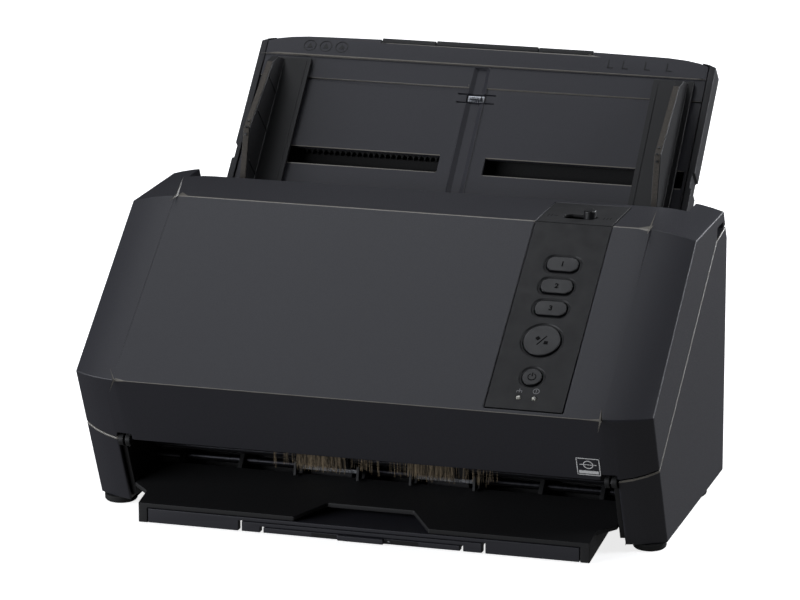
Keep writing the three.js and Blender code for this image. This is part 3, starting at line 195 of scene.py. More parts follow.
def satin_abs(name, colour, roughness):
    """ABS from a polished mould: smooth and a little shiny, with the haze of handling."""
    finish, tree, at = start_finish(name)
    haze = add_node(
        tree, "ShaderNodeTexNoise",
        {"Scale": per_mm(7), "Detail": 4.0, "Roughness": 0.6}, {"Vector": at}
    )
    fine = add_node(
        tree, "ShaderNodeTexNoise",
        {"Scale": per_mm(0.4), "Detail": 2.0}, {"Vector": at}
    )
    gloss = add_node(
        tree, "ShaderNodeMapRange",
        {"From Min": 0.3, "From Max": 0.7, "To Min": roughness - 0.05, "To Max": roughness + 0.07},
        {"Value": haze}
    )
    tint = add_node(
        tree, "ShaderNodeMix",
        {"data_type": "RGBA", MIX_A: toned(colour, 0.92), MIX_B: toned(colour, 1.08)},
        {MIX_FACTOR: haze}
    )
    relief = add_node(
        tree, "ShaderNodeBump",
        {"Strength": 0.3, "Distance": 0.004 * MM}, {"Height": fine}
    )
    links = {"Base Color": tint.outputs[MIX_RESULT], "Roughness": gloss, "Normal": relief}
    return end_finish(finish, tree, {"IOR": 1.53}, links)


def soft_rubber(name, colour, groove_mm=0.0):
    """Vulcanised rubber with a ground, dusty face; a feed tyre is also scored round."""
    finish, tree, at = start_finish(name)
    dust = add_node(
        tree, "ShaderNodeTexNoise",
        {"Scale": per_mm(2.2), "Detail": 5.0, "Roughness": 0.7}, {"Vector": at}
    )
    height = dust
    if groove_mm:
        # A wave's length is pi / 10 of its scale's inverse.
        height = add_node(
            tree, "ShaderNodeTexWave",
            {"Scale": math.pi / 10 * per_mm(groove_mm), "bands_direction": "X"}, {"Vector": at}
        )
    bloom = add_node(
        tree, "ShaderNodeMapRange",
        {"From Min": 0.3, "From Max": 0.7}, {"Value": dust}
    )
    tint = add_node(
        tree, "ShaderNodeMix",
        {"data_type": "RGBA", MIX_A: toned(colour, 0.8), MIX_B: toned(colour, 1.4)},
        {MIX_FACTOR: bloom}
    )
    gloss = add_node(tree, "ShaderNodeMapRange", {"To Min": 0.72, "To Max": 0.9}, {"Value": bloom})
    relief = add_node(
        tree, "ShaderNodeBump",
        {"Strength": 0.4, "Distance": 0.05 * MM}, {"Height": height}
    )
    links = {"Base Color": tint.outputs[MIX_RESULT], "Roughness": gloss, "Normal": relief}
    return end_finish(finish, tree, {"IOR": 1.52}, links)


def turned_steel(name, colour, roughness=0.28):
    """Turned steel: fine rings left by the tool, running round the X axis."""
    finish, tree, at = start_finish(name)
    stretch = add_node(tree, "ShaderNodeMapping", {"Scale": (1.0, 0.04, 0.04)}, {"Vector": at})
    rings = add_node(
        tree, "ShaderNodeTexNoise",
        {"Scale": per_mm(0.35), "Detail": 3.0}, {"Vector": stretch}
    )
    gloss = add_node(
        tree, "ShaderNodeMapRange",
        {"From Min": 0.3, "From Max": 0.7, "To Min": roughness - 0.08, "To Max": roughness + 0.12},
        {"Value": rings}
    )
    tint = add_node(
        tree, "ShaderNodeMix",
        {"data_type": "RGBA", MIX_A: toned(colour, 0.85), MIX_B: toned(colour, 1.1)},
        {MIX_FACTOR: rings}
    )
    relief = add_node(
        tree, "ShaderNodeBump",
        {"Strength": 0.4, "Distance": 0.006 * MM}, {"Height": rings}
    )
    links = {"Base Color": tint.outputs[MIX_RESULT], "Roughness": gloss, "Normal": relief}
    return end_finish(finish, tree, {"Metallic": 1.0}, links)


def float_glass(name, colour):
    """Float glass over the line sensor: greenish black, with a thin film of paper dust."""
    finish, tree, at = start_finish(name)
    film = add_node(
        tree, "ShaderNodeTexNoise",
        {"Scale": per_mm(18), "Detail": 3.0}, {"Vector": at}
    )
    gloss = add_node(tree, "ShaderNodeMapRange", {"To Min": 0.02, "To Max": 0.08}, {"Value": film})
    tint = add_node(
        tree, "ShaderNodeMix",
        {"data_type": "RGBA", MIX_A: toned(colour, 0.85), MIX_B: toned(colour, 1.2)},
        {MIX_FACTOR: film}
    )
    links = {"Base Color": tint.outputs[MIX_RESULT], "Roughness": gloss}
    return end_finish(finish, tree, {"IOR": 1.52, "Coat Weight": 0.6}, links)


def solder_mask(name, colour):
    """Solder mask over etched copper: lighter where the tracks run under it."""
    finish, tree, at = start_finish(name)
    tracks = add_node(
        tree, "ShaderNodeTexBrick",
        {"Scale": per_mm(9), "Mortar Size": 0.03, "Mortar Smooth": 0.1,
         "Color1": toned(colour, 0.9), "Color2": toned(colour, 1.1),
         "Mortar": toned(colour, 2.1)},
        {"Vector": at}
    )
    relief = add_node(
        tree, "ShaderNodeBump",
        {"Strength": 0.6, "Distance": 0.03 * MM}, {"Height": tracks.outputs["Fac"]}
    )
    links = {"Base Color": tracks, "Normal": relief}
    return end_finish(finish, tree, {"Roughness": 0.35, "IOR": 1.55}, links)


def natural_acetal(name, colour):
    """Acetal gears and pulleys: milky white and slightly waxy, with some light inside."""
    finish, tree, at = start_finish(name)
    flow = add_node(tree, "ShaderNodeTexNoise", {"Scale": per_mm(6), "Detail": 3.0}, {"Vector": at})
    tint = add_node(
        tree, "ShaderNodeMix",
        {"data_type": "RGBA", MIX_A: toned(colour, 0.88), MIX_B: toned(colour, 1.02)},
        {MIX_FACTOR: flow}
    )
    gloss = add_node(tree, "ShaderNodeMapRange", {"To Min": 0.3, "To Max": 0.5}, {"Value": flow})
    settings = {"IOR": 1.48, "Subsurface Weight": 0.12, "Subsurface Scale": 1.5 * MM}
    links = {"Base Color": tint.outputs[MIX_RESULT], "Roughness": gloss}
    return end_finish(finish, tree, settings, links)


def brush_hair(name, colour):
    """Antistatic brush hair: bronze-brown strands, some nearly black, some catching light."""
    finish, tree, at = start_finish(name)
    stretch = add_node(tree, "ShaderNodeMapping", {"Scale": (1.0, 1.0, 0.05)}, {"Vector": at})
    strand = add_node(
        tree, "ShaderNodeTexNoise",
        {"Scale": per_mm(0.9), "Detail": 2.0}, {"Vector": stretch}
    )
    mix = add_node(
        tree, "ShaderNodeMapRange",
        {"From Min": 0.35, "From Max": 0.68}, {"Value": strand}
    )
    tint = add_node(
        tree, "ShaderNodeMix",
        {"data_type": "RGBA", MIX_A: toned(colour, 0.15), MIX_B: toned(colour, 1.6)},
        {MIX_FACTOR: mix}
    )
    links = {"Base Color": tint.outputs[MIX_RESULT]}
    return end_finish(finish, tree, {"Roughness": 0.42, "IOR": 1.5}, links)


def gritty_lining(name, colour):
    """A grey-brown gritty lining: coarse, dry and dusty, patchy where sheets rub it."""
    finish, tree, at = start_finish(name)
    grit = add_node(
        tree, "ShaderNodeTexNoise",
        {"Scale": per_mm(1.1), "Detail": 4.0, "Roughness": 0.75}, {"Vector": at}
    )
    patch = add_node(
        tree, "ShaderNodeTexNoise",
        {"Scale": per_mm(9), "Detail": 2.0}, {"Vector": at}
    )
    grain = add_node(
        tree, "ShaderNodeMapRange",
        {"From Min": 0.3, "From Max": 0.7}, {"Value": grit}
    )
    light = add_node(
        tree, "ShaderNodeMix",
        {"data_type": "RGBA", MIX_A: toned(colour, 0.4), MIX_B: toned(colour, 1.5)},
        {MIX_FACTOR: grain}
    )
    tint = add_node(
        tree, "ShaderNodeMix",
        {"data_type": "RGBA", MIX_B: toned(colour, 0.8)},
        {MIX_FACTOR: patch, MIX_A: light.outputs[MIX_RESULT]}
    )
    relief = add_node(
        tree, "ShaderNodeBump",
        {"Strength": 0.7, "Distance": 0.12 * MM}, {"Height": grit}
    )
    links = {"Base Color": tint.outputs[MIX_RESULT], "Normal": relief}
    return end_finish(finish, tree, {"Roughness": 0.78, "IOR": 1.5}, links)


def pad_printed_ink(name, colour):
    """Pad-printed ink: thin, with slight cover loss where the grain shows through."""
    finish, tree, at = start_finish(name)
    cover = add_node(
        tree, "ShaderNodeTexNoise",
        {"Scale": per_mm(0.35), "Detail": 3.0}, {"Vector": at}
    )
    tint = add_node(
        tree, "ShaderNodeMix",
        {"data_type": "RGBA", MIX_A: toned(colour, 0.6), MIX_B: toned(colour, 1.15)},
        {MIX_FACTOR: cover}
    )
    settings = {"Roughness": 0.75, "IOR": 1.5, "Specular IOR Level": 0.15}
    return end_finish(finish, tree, settings, {"Base Color": tint.outputs[MIX_RESULT]})


def frosted_acrylic(name, colour):
    """A light pipe's acrylic end, unlit: clear skin over a frosted core."""
    finish, tree, at = start_finish(name)
    frost = add_node(
        tree, "ShaderNodeTexNoise",
        {"Scale": per_mm(1.0), "Detail": 3.0}, {"Vector": at}
    )
    core = add_node(
        tree, "ShaderNodeMapRange",
        {"From Min": 0.4, "From Max": 0.6}, {"Value": frost}
    )
    gloss = add_node(tree, "ShaderNodeMapRange", {"To Min": 0.08, "To Max": 0.4}, {"Value": frost})
    relief = add_node(
        tree, "ShaderNodeBump",
        {"Strength": 0.6, "Distance": 0.1 * MM}, {"Height": frost}
    )
    tint = add_node(
        tree, "ShaderNodeMix",
        {"data_type": "RGBA", MIX_A: toned(colour, 0.15), MIX_B: toned(colour, 1.2)},
        {MIX_FACTOR: core}
    )
    links = {"Base Color": tint.outputs[MIX_RESULT], "Roughness": gloss, "Normal": relief}
    return end_finish(finish, tree, {"IOR": 1.49, "Coat Weight": 0.5}, links)


# ------------------------------------------------------------------ making pieces
def new_piece(
    bm, name, body, finishes, edge_mm=0.0, segments=2, stands_for=(), edge_finish=None
):
    """Turns a bmesh into a finished piece that rides on its body."""
    mesh = bpy.data.meshes.new(name)
    bm.to_mesh(mesh)
    bm.free()
    finishes = list(finishes) if isinstance(finishes, (list, tuple)) else [finishes]
    for finish in finishes + ([edge_finish] if edge_finish else []):
        mesh.materials.append(finish)
    mesh.polygons.foreach_set("use_smooth", [True] * len(mesh.polygons))
    mesh.set_sharp_from_angle(angle=EDGE_ANGLE if edge_mm else CURVE_ANGLE)
    piece = bpy.data.objects.new(name, mesh)
    bpy.context.scene.collection.objects.link(piece)
    # Weighted edges are rounded in the last finish, whose lighter colour paints a highlight along
    # them.
    roundings = [("painted_highlight_edges", "WEIGHT", 4, len(finishes))] if edge_finish else []
    roundings += [("rounded_edges", "ANGLE", segments, -1)] if edge_mm else []
    for title, limit, steps, material in roundings:
        rounding = piece.modifiers.new(title, "BEVEL")
        rounding.width = edge_mm * MM
        rounding.segments = steps
        rounding.limit_method = limit
        rounding.angle_limit = EDGE_ANGLE
        rounding.use_clamp_overlap = False
        rounding.miter_outer = "MITER_ARC"
        rounding.material = material
    steady = piece.modifiers.new("steady_normals", "WEIGHTED_NORMAL")
    steady.weight = 60
    steady.keep_sharp = not edge_mm
    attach(piece, body)
    if stands_for:
        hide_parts(*stands_for)
    return piece


def merged_copy(node):
    """A copy of a frame node, its loose triangles merged and its flat faces cut afresh, evenly."""
    bm = bmesh.new()
    bm.from_mesh(frame["nodes"][node].data)
    bmesh.ops.remove_doubles(bm, verts=bm.verts, dist=3e-6)
    flat = {"use_dissolve_boundaries": False, "verts": bm.verts, "edges": bm.edges}
    bmesh.ops.dissolve_limit(bm, angle_limit=math.radians(0.3), **flat)
    many_sided = [face for face in bm.faces if len(face.verts) > 4]
    bmesh.ops.triangulate(bm, faces=many_sided, quad_method="BEAUTY", ngon_method="BEAUTY")
    return bm


def dressed(node, name, finish, edge_mm, segments=2, edge_highlight=None):
    """A node's own shape with rounded edges, standing for it; the edge function gives each edge's
    weight of painted highlight.
    """
    body = frame["nodes"][node]["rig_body"]
    bm = merged_copy(node)
    if edge_highlight:
        weight = bm.edges.layers.float.new("bevel_weight_edge")
        for edge in bm.edges:
            edge[weight] = float(edge_highlight(edge)) if len(edge.link_faces) == 2 else 0.0
    highlight_finish = finish_of("edge_highlight") if edge_highlight else None
    return new_piece(bm, name, body, finish, edge_mm, segments, (node,), highlight_finish)


def on_crease(edge):
    """How strongly an edge on the creases of the lid's slanted panel takes the painted highlight,
    fading at their ends.
    """
    near, half_length, fade = 2.0, 124, 14
    ends = [BODY_PLACE.inverted() @ vert.co for vert in edge.verts]
    creases = (LOW_CREASE, HIGH_CREASE)
    if not any(all(math.hypot(e.y - y, e.z - z) < near for e in ends) for y, z in creases):
        return 0.0
    middle = abs(ends[0].x + ends[1].x) / 2
    return min(1.0, max(0.0, (half_length - middle) / fade))


def on_top(edge):
    """Whether an edge runs round an upward face and turns down from it."""
    rises = sorted(face.normal.z for face in edge.link_faces)
    return rises[1] > 0.5 and rises[0] < 0.35


def along_x(edge):
    """Whether a long, sharp edge runs straight across the scanner."""
    shortest = 25 * MM
    run = edge.verts[1].co - edge.verts[0].co
    straight = abs(run.x) > max(0.9999 * run.length, shortest)
    return straight and edge.calc_face_angle(0.0) > EDGE_ANGLE


def paint(node, finish):
    """Gives a frame node that keeps its own shape a real finish."""
    mesh = frame["nodes"][node].data
    mesh.materials.clear()
    mesh.materials.append(finish)


def slab(bm, outline, low, high, turn=None):
    """Raises a closed outline into a slab between two heights, then turns it."""
    corners = [bm.verts.new((x, y, low)) for x, y in outline]
    face = bm.faces.new(corners)
    raised = bmesh.ops.extrude_face_region(bm, geom=[face])
    tops = [v for v in raised["geom"] if isinstance(v, bmesh.types.BMVert)]
    bmesh.ops.translate(bm, vec=(0, 0, high - low), verts=tops)
    if turn is not None:
        bmesh.ops.transform(bm, matrix=turn, verts=corners + tops)
    return corners + tops


def block(bm, x0, x1, y0, y1, z0, z1):
    """A rectangular block between two corners."""
    size = Matrix.Diagonal((x1 - x0, y1 - y0, z1 - z0, 1))
    middle = Matrix.Translation(((x0 + x1) / 2, (y0 + y1) / 2, (z0 + z1) / 2))
    return bmesh.ops.create_cube(bm, size=1, matrix=middle @ size)["verts"]


def disc(bm, x, y, radius, low, high, segments=24):
    """A short upright cylinder."""
    middle = Matrix.Translation((x, y, (low + high) / 2))
    shape = {"segments": segments, "radius1": radius, "radius2": radius, "depth": high - low}
    return bmesh.ops.create_cone(bm, cap_ends=True, cap_tris=False, matrix=middle, **shape)["verts"]


def ring(bm, x, y, outer, inner, low, high, start=0.0, sweep=360.0, steps=28):
    """A flat ring, or part of one, spun from its own section."""
    section = [(inner, low), (outer, low), (outer, high), (inner, high)]
    corners = [bm.verts.new((r, 0, z)) for r, z in section]
    face = bm.faces.new(corners)
    turn = Matrix.Rotation(math.radians(start), 4, "Z")
    bmesh.ops.transform(bm, matrix=turn, verts=corners)
    whole = sweep >= 360
    geometry = [face, *face.edges, *corners]
    made = bmesh.ops.spin(
        bm, geom=geometry, cent=(0, 0, 0), axis=(0, 0, 1), angle=math.radians(sweep),
        steps=steps, use_merge=whole, use_duplicate=False,
    )
    if whole:
        inside = [f for f in {*made["geom_last"], face} if isinstance(f, bmesh.types.BMFace)]
        bmesh.ops.delete(bm, geom=[f for f in inside if f.is_valid], context="FACES_ONLY")
    linked = set()
    grow = [v for v in corners if v.is_valid]
    while grow:
        vert = grow.pop()
        if vert not in linked:
            linked.add(vert)
            grow.extend(e.other_vert(vert) for e in vert.link_edges)
    bmesh.ops.translate(bm, vec=(x, y, 0), verts=list(linked))
    return list(linked)


def settle(bm, place):
    """Moves a bmesh laid out in millimetres to its place, with its faces outwards."""
    bmesh.ops.remove_doubles(bm, verts=bm.verts, dist=1e-4)
    bmesh.ops.recalc_face_normals(bm, faces=bm.faces)
    bm.transform(place)
    return bm


def digit(bm, sign, x, y, height, low, high):
    """A plain numeral, raised between two heights."""
    curve = bpy.data.curves.new("numeral", "FONT")
    curve.body = sign
    curve.size = height * 1.4
    curve.extrude = (high - low) / 2
    curve.offset = height * 0.035
    curve.align_x = "CENTER"
    curve.align_y = "CENTER"
    carrier = bpy.data.objects.new("numeral", curve)
    bpy.context.scene.collection.objects.link(carrier)
    evaluated = carrier.evaluated_get(bpy.context.evaluated_depsgraph_get())
    shape = bpy.data.meshes.new_from_object(evaluated)
    shape.transform(Matrix.Translation((x, y, (low + high) / 2)))
    bm.from_mesh(shape)
    bpy.data.objects.remove(carrier)
    bpy.data.curves.remove(curve)
    bpy.data.meshes.remove(shape)


# ------------------------------------------------------------------ settings
class ScannerColours(bpy.types.PropertyGroup):
    """The colours of the mouldings."""

    shell: bpy.props.FloatVectorProperty(
        name="Shell", description="Outer mouldings", subtype="COLOR", size=3,
        min=0, max=1, default=linear("#26262d"))
    inside: bpy.props.FloatVectorProperty(
        name="Inside", description="Feeder and frame mouldings", subtype="COLOR", size=3,
        min=0, max=1, default=linear("#0d0d0f"))
    chute: bpy.props.FloatVectorProperty(
        name="Chute", description="Paper chute and guides", subtype="COLOR", size=3,
        min=0, max=1, default=linear("#2a2a31"))
    strip: bpy.props.FloatVectorProperty(
        name="Strip", description="Control strip", subtype="COLOR", size=3,
        min=0, max=1, default=linear("#08080b"))
    keys: bpy.props.FloatVectorProperty(
        name="Keys", description="Buttons and slider", subtype="COLOR", size=3,
        min=0, max=1, default=linear("#0e0e11"))
    # Painted highlight: the lighter colour of the rounded edges stands in for light caught on the
    # creases.
    edge_highlight: bpy.props.FloatVectorProperty(
        name="Edge highlight", description="Edges of the mouldings, painted lighter as a highlight",
        subtype="COLOR", size=3, min=0, max=1, default=linear("#7a766f"))
    marks: bpy.props.FloatVectorProperty(
        name="Marks", description="Printed signs", subtype="COLOR", size=3,
        min=0, max=1, default=linear("#8a8a8c"))


class ScannerSizes(bpy.types.PropertyGroup):
    """The rounding of the big mouldings, and the brushes' fibres."""

    crease: bpy.props.FloatProperty(
        name="Crease rounding", description="Rounding of the big mouldings' edges",
        default=0.7 * MM, min=0.1 * MM, max=2 * MM, subtype="DISTANCE", unit="LENGTH")
    fibres: bpy.props.IntProperty(
        name="Brush fibres", description="Fibres in each antistatic brush",
        default=420, min=20, max=2000)
    fibre: bpy.props.FloatProperty(
        name="Fibre thickness", description="Thickness of a brush fibre",
        default=0.22 * MM, min=0.05 * MM, max=0.5 * MM, subtype="DISTANCE", unit="LENGTH")


FINISHES = {}  # by the name that finish_of is asked for


def finish_of(name):
    """A finish of the scanner, made when it is first asked for."""
    if name in FINISHES:
        return FINISHES[name]
    colours = bpy.context.scene.scanner_colours
    makers = {
        "shell": lambda: moulded_abs("grained_black_abs", colours.shell, 0.5),
        # The edge finish is smoother, and its lighter colour is a painted highlight.
        "edge_highlight": lambda: moulded_abs("highlight_painted_abs", colours.edge_highlight, 0.34, 0.8, 0.006),
        "inside": lambda: moulded_abs("matt_black_abs", colours.inside, 0.62, 0.7),
        "painted_shade": lambda: moulded_abs("shade_black_abs", linear("#050506"), 0.8, 0.7),
        # Near-black and matt: a painted shade for places under and inside the mouldings where light
        # hardly reaches.
        "chute": lambda: moulded_abs("fine_grained_abs", colours.chute, 0.5, 0.45, 0.009),
        "band": lambda: moulded_abs(
            "fine_grained_dark_abs", toned(colours.chute, 0.45), 0.52, 0.45, 0.009),
        "guide": lambda: moulded_abs(
            "smooth_dark_abs", toned(colours.chute, 0.12), 0.5, 0.45, 0.006),
        "strip": lambda: satin_abs("polished_mould_abs", colours.strip, 0.6),
        "keys": lambda: satin_abs("satin_key_abs", colours.keys, 0.42),
        "marks": lambda: pad_printed_ink("pad_printed_grey", colours.marks),
        "dark_marks": lambda: pad_printed_ink("sunk_dark_ink", linear("#030303")),
        "label": lambda: pad_printed_ink("label_white_ink", linear("#f2f2f2")),
        "tape": lambda: gritty_lining("gritty_lining", linear("#4b4640")),
        "rubber": lambda: soft_rubber("foot_rubber", linear("#121212")),
        "tyre": lambda: soft_rubber("scored_feed_rubber", linear("#232325"), 1.6),
        "belt": lambda: soft_rubber("belt_rubber", linear("#191919")),
        "steel": lambda: turned_steel("turned_steel", linear("#a9abb0")),
        "dark_steel": lambda: turned_steel("blackened_steel", linear("#3c3c40"), 0.34),
        "glass": lambda: float_glass("sensor_glass", linear("#1b2422")),
        "board": lambda: solder_mask("green_solder_mask", linear("#17523a")),
        "gear": lambda: natural_acetal("natural_acetal", linear("#e6e2d6")),
        "hair": lambda: brush_hair("bronze_brush_hair", linear("#8a7a62")),
        "lens": lambda: frosted_acrylic("frosted_acrylic", linear("#b9b8ae")),
        "contacts": lambda: turned_steel("tinned_contacts", linear("#c8c2b0"), 0.35),
    }
    FINISHES[name] = makers[name]()
    return FINISHES[name]


def sizes():
    """The scene's scanner sizes."""
    return bpy.context.scene.scanner_sizes


# ------------------------------------------------------------------ operators
KEY_X = 86.4  # the middle of the column of keys
KEY_INK = (0.36, 0.5)  # the bottom and top of the ink on a key, out of the panel


class SCANNER_OT_housing(bpy.types.Operator):
    """Make the outer mouldings: lid cover, side covers, rear cover and feet"""

    bl_idname = "scanner.housing"
    bl_label = "Housing"

    def execute(self, context):
        crease = sizes().crease / MM
        # The lid's creases and the flanks' top edges get the painted highlight.
        dressed("top_cover", "lid_cover", finish_of("shell"), crease, 3, on_crease)
        for side in ("left", "right"):
            cover = "side_cover_" + side
            dressed(cover, "flank_" + side, finish_of("shell"), crease, 3, on_top)
            for end in ("front", "rear"):
                foot = f"foot_{end}_{side}"
                dressed(foot, f"sole_{end}_{side}", finish_of("rubber"), 0.4)
        dressed("rear_cover", "back_panel", finish_of("shell"), 0.4)
        return {"FINISHED"}


class SCANNER_OT_control_strip(bpy.types.Operator):
    """Make the control strip with its keys, lamps, slider and printed signs"""

    bl_idname = "scanner.control_strip"
    bl_label = "Control strip"

    def execute(self, context):
        self.plate()
        for key in ("button_one", "button_two", "button_three", "scan_button", "power_button"):
            dressed(key, key + "_cap", finish_of("keys"), 0.3)
        dressed("mode_slider", "slider_knob", finish_of("keys"), 0.8, 3)
        dressed("release_tab", "release_catch", finish_of("inside"), 0.4)
        for side in ("left", "right"):
            dressed("lamp_" + side, "light_pipe_" + side, finish_of("lens"), 0.2)
        self.numerals()
        self.key_signs()
        self.lamp_signs()
        self.slider_signs()
        return {"FINISHED"}

    def plate(self):
        """The strip itself, the wall of each key's dish leaning in to a narrower floor."""
        lowest, highest, inset = -0.7, -0.5, 0.6  # the dishes' floors, and how far they narrow
        bm = merged_copy("control_strip")
        out = (PANEL_PLACE.to_3x3() @ Vector((0, 0, 1))).normalized()
        panel = PANEL_PLACE.inverted()
        lean = {}
        for vert in bm.verts:
            depth = (panel @ vert.co).z
            upright = [face for face in vert.link_faces if abs(face.normal.dot(out)) < 0.1]
            walls = [
                face.normal.copy() for face in upright
                if (panel @ face.calc_center_median()).z > depth + 0.05
            ]
            if lowest < depth < highest and walls:
                lean[vert] = sum(walls, Vector()).normalized() * inset * MM
        for vert, step in lean.items():
            vert.co += step
        new_piece(bm, "strip_plate", "lid", finish_of("strip"), 0.12,
                  stands_for=("control_strip",))

    def numerals(self):
        """The numerals printed on the three small keys."""
        for sign, count, up in (("1", "one", 95.5), ("2", "two", 81.2), ("3", "three", 66.9)):
            body = "button_" + count
            bm = bmesh.new()
            digit(bm, sign, KEY_X, up, 3.0, *KEY_INK)
            settle(bm, PANEL_PLACE)
            new_piece(bm, body + "_numeral", body, finish_of("dark_marks"))

    def key_signs(self):
        """The scan key's slash, diamond and square, and the power key's broken ring."""
        bm = bmesh.new()
        slant = Matrix.Rotation(math.radians(-35), 4, "Z")
        bar = block(bm, -0.25, 0.25, -3.6, 3.6, *KEY_INK)
        bmesh.ops.transform(bm, matrix=Matrix.Translation((KEY_X, 46.3, 0)) @ slant, verts=bar)
        across, up, half = KEY_X - 2.2, 47.4, 1.4
        diamond = [(KEY_X - 3.6, up), (across, up - half), (KEY_X - 0.9, up), (across, up + half)]
        slab(bm, diamond, *KEY_INK)
        block(bm, KEY_X + 1.3, KEY_X + 3.3, 44.0, 45.9, *KEY_INK)
        settle(bm, PANEL_PLACE)
        new_piece(bm, "scan_button_sign", "scan_button", finish_of("dark_marks"))
        bm = bmesh.new()
        ring(bm, KEY_X, 23.2, 2.2, 1.75, *KEY_INK, 120, 300)
        block(bm, KEY_X - 0.25, KEY_X + 0.25, 23.6, 25.8, *KEY_INK)
        settle(bm, PANEL_PLACE)
        new_piece(bm, "power_button_sign", "power_button", finish_of("dark_marks"))

    def lamp_signs(self):
        """The small signs above the two lamps: a plug on the left, a ringed mark on the right."""
        low, high = -0.05, 0.06
        bm = bmesh.new()
        ring(bm, 90.4, 14.7, 1.7, 1.35, low, high)
        block(bm, 90.2, 90.6, 14.5, 15.7, low, high)
        block(bm, 90.2, 90.6, 13.6, 14.0, low, high)
        block(bm, 81.8, 82.2, 13.4, 15.6, low, high)
        block(bm, 80.6, 83.4, 14.2, 14.5, low, high)
        for x in (80.6, 83.1):
            block(bm, x, x + 0.3, 13.2, 14.4, low, high)
        settle(bm, PANEL_PLACE)
        new_piece(bm, "lamp_signs", "lid", finish_of("marks"))

    def slider_signs(self):
        """The strokes printed at both ends of the slider's slot."""
        low, high = TOP_Z - 0.05, TOP_Z + 0.05
        bm = bmesh.new()
        for x in (69.5, 71.2, 98.6, 100.3, 102.0):
            block(bm, x, x + 0.35, 20.6, 24.8, low, high)
        block(bm, 72.6, 74.6, 22.5, 22.9, low, high)
        settle(bm, BODY_PLACE)
        new_piece(bm, "slider_signs", "lid", finish_of("dark_marks"))


class SCANNER_OT_chute(bpy.types.Operator):
    """Make the paper chute, its back, its pull-out extensions and its marks"""

    bl_idname = "scanner.chute"
    bl_label = "Chute"

    def execute(self, context):
        # Long edges across the chute get the painted highlight.
        dressed("chute_plate", "chute_face", finish_of("chute"), 0.25, 2, along_x)
        self.shell()
        for node in ("chute_extension_one", "chute_extension_two"):
            dressed(node, node + "_leaf", finish_of("guide"), 0.4)
        dressed("sheet_clip", "groove_pin", finish_of("steel"), 0.2)
        self.marks()
        return {"FINISHED"}

    def shell(self):
        """The chute's back: a tray whose inside floor is near-black, a painted shade."""
        bm = merged_copy("chute_back")
        back = CHUTE_PLACE.inverted()
        for face in bm.faces:
            # Faces well below the chute's face and facing out of it get the painted shade.
            painted_shade = (back @ face.calc_center_median()).z < -1.5
            facing = (back.to_3x3() @ face.normal).normalized().z > 0.5
            face.material_index = 1 if painted_shade and facing else 0
        pair = [finish_of("band"), finish_of("painted_shade")]
        new_piece(bm, "chute_shell", "base", pair, 0.5, 2, ("chute_back",))

    def marks(self):
        """Raised signs on the band: three rings on the left, size ticks on the right."""
        bm = bmesh.new()
        low, high = 0.75, 1.0
        for i, x in enumerate((-98.5, -89.5, -80.5)):
            ring(bm, x, 63.4, 3.5, 3.15, low, high)
            corners = [(x - 1.4, 62.0), (x + 1.4, 62.0), (x + 1.4, 62.5 + i * 0.4), (x, 65.2)]
            slab(bm, corners, low, high)
        for x in (68, 76, 88, 100):
            block(bm, x, x + 0.5, 60.6, 65.6, low, high)
            block(bm, x, x + 3.2, 60.6, 61.0, low, high)
        settle(bm, CHUTE_PLACE)
        new_piece(bm, "band_marks", "base", finish_of("guide"))


class SCANNER_OT_guides(bpy.types.Operator):
    """Make the width guides with their lined front edges"""

    bl_idname = "scanner.guides"
    bl_label = "Width guides"

    def execute(self, context):
        for side, sign in (("left", -1), ("right", 1)):
            body = "guide_" + side
            self.fin(side, body)
            self.lining(side, sign, body)
            self.ribs(side, sign, body)
        paint("guide_pinion", finish_of("gear"))
        return {"FINISHED"}

    def fin(self, side, body):
        """The guide's own shape, near-black where it runs under the chute's face: a painted shade.
        """
        bm = merged_copy(body)
        back = CHUTE_PLACE.inverted()
        for face in bm.faces:
            face.material_index = 1 if (back @ face.calc_center_median()).z < 0.2 else 0
        pair = [finish_of("guide"), finish_of("painted_shade")]
        new_piece(bm, "width_guide_" + side, body, pair, 0.35, 2, (body,))

    def lining(self, side, sign, body):
        """The ribbed lining let into the fin's front edge, and its three studs."""
        bm = bmesh.new()
        middle = sign * 112
        edge = [(40.0, 18.2), (-7.8, 27.6), (-31.6, 14.0)]
        lifted = [(40.4, 18.75), (-7.9, 28.15), (-32.2, 14.5)]
        slab(bm, [*edge, *reversed(lifted)], middle - 1.45, middle + 1.45, ACROSS)
        bmesh.ops.subdivide_edges(bm, edges=bm.edges[:], cuts=1, use_grid_fill=True)
        settle(bm, CHUTE_PLACE)
        new_piece(bm, "edge_lining_" + side, body, finish_of("tape"), 0.15)
        bm = bmesh.new()
        for along, out, lean in ((-3.4, 27.35, -11.2), (-7.9, 28.2, 0), (-11.2, 26.3, 29.8)):
            stud = disc(bm, 0, 0, 0.75, 0, 0.55, 16)
            tilt = Matrix.Rotation(math.radians(lean), 4, "X")
            place = Matrix.Translation((middle, along, out))
            bmesh.ops.transform(bm, matrix=place @ tilt, verts=stud)
        settle(bm, CHUTE_PLACE)
        new_piece(bm, "edge_studs_" + side, body, finish_of("keys"), 0.15)

    def ribs(self, side, sign, body):
        """Shallow upright ribs on the fin's inner face, and a line along the foot."""
        bm = bmesh.new()
        face = sign * (112 - 1.85)
        reach = -sign * 0.35
        for along, top in ((-22, 17.5), (6, 23.2), (30, 18.4)):
            block(bm, *sorted((face, face + reach)), along, along + 1.1, 2.8, top)
        foot = sorted((sign * 97.2, sign * 98.0))
        block(bm, *foot, -36, 52, 2.75, 3.05)
        settle(bm, CHUTE_PLACE)
        new_piece(bm, "guide_ribs_" + side, body, finish_of("guide"), 0.12)


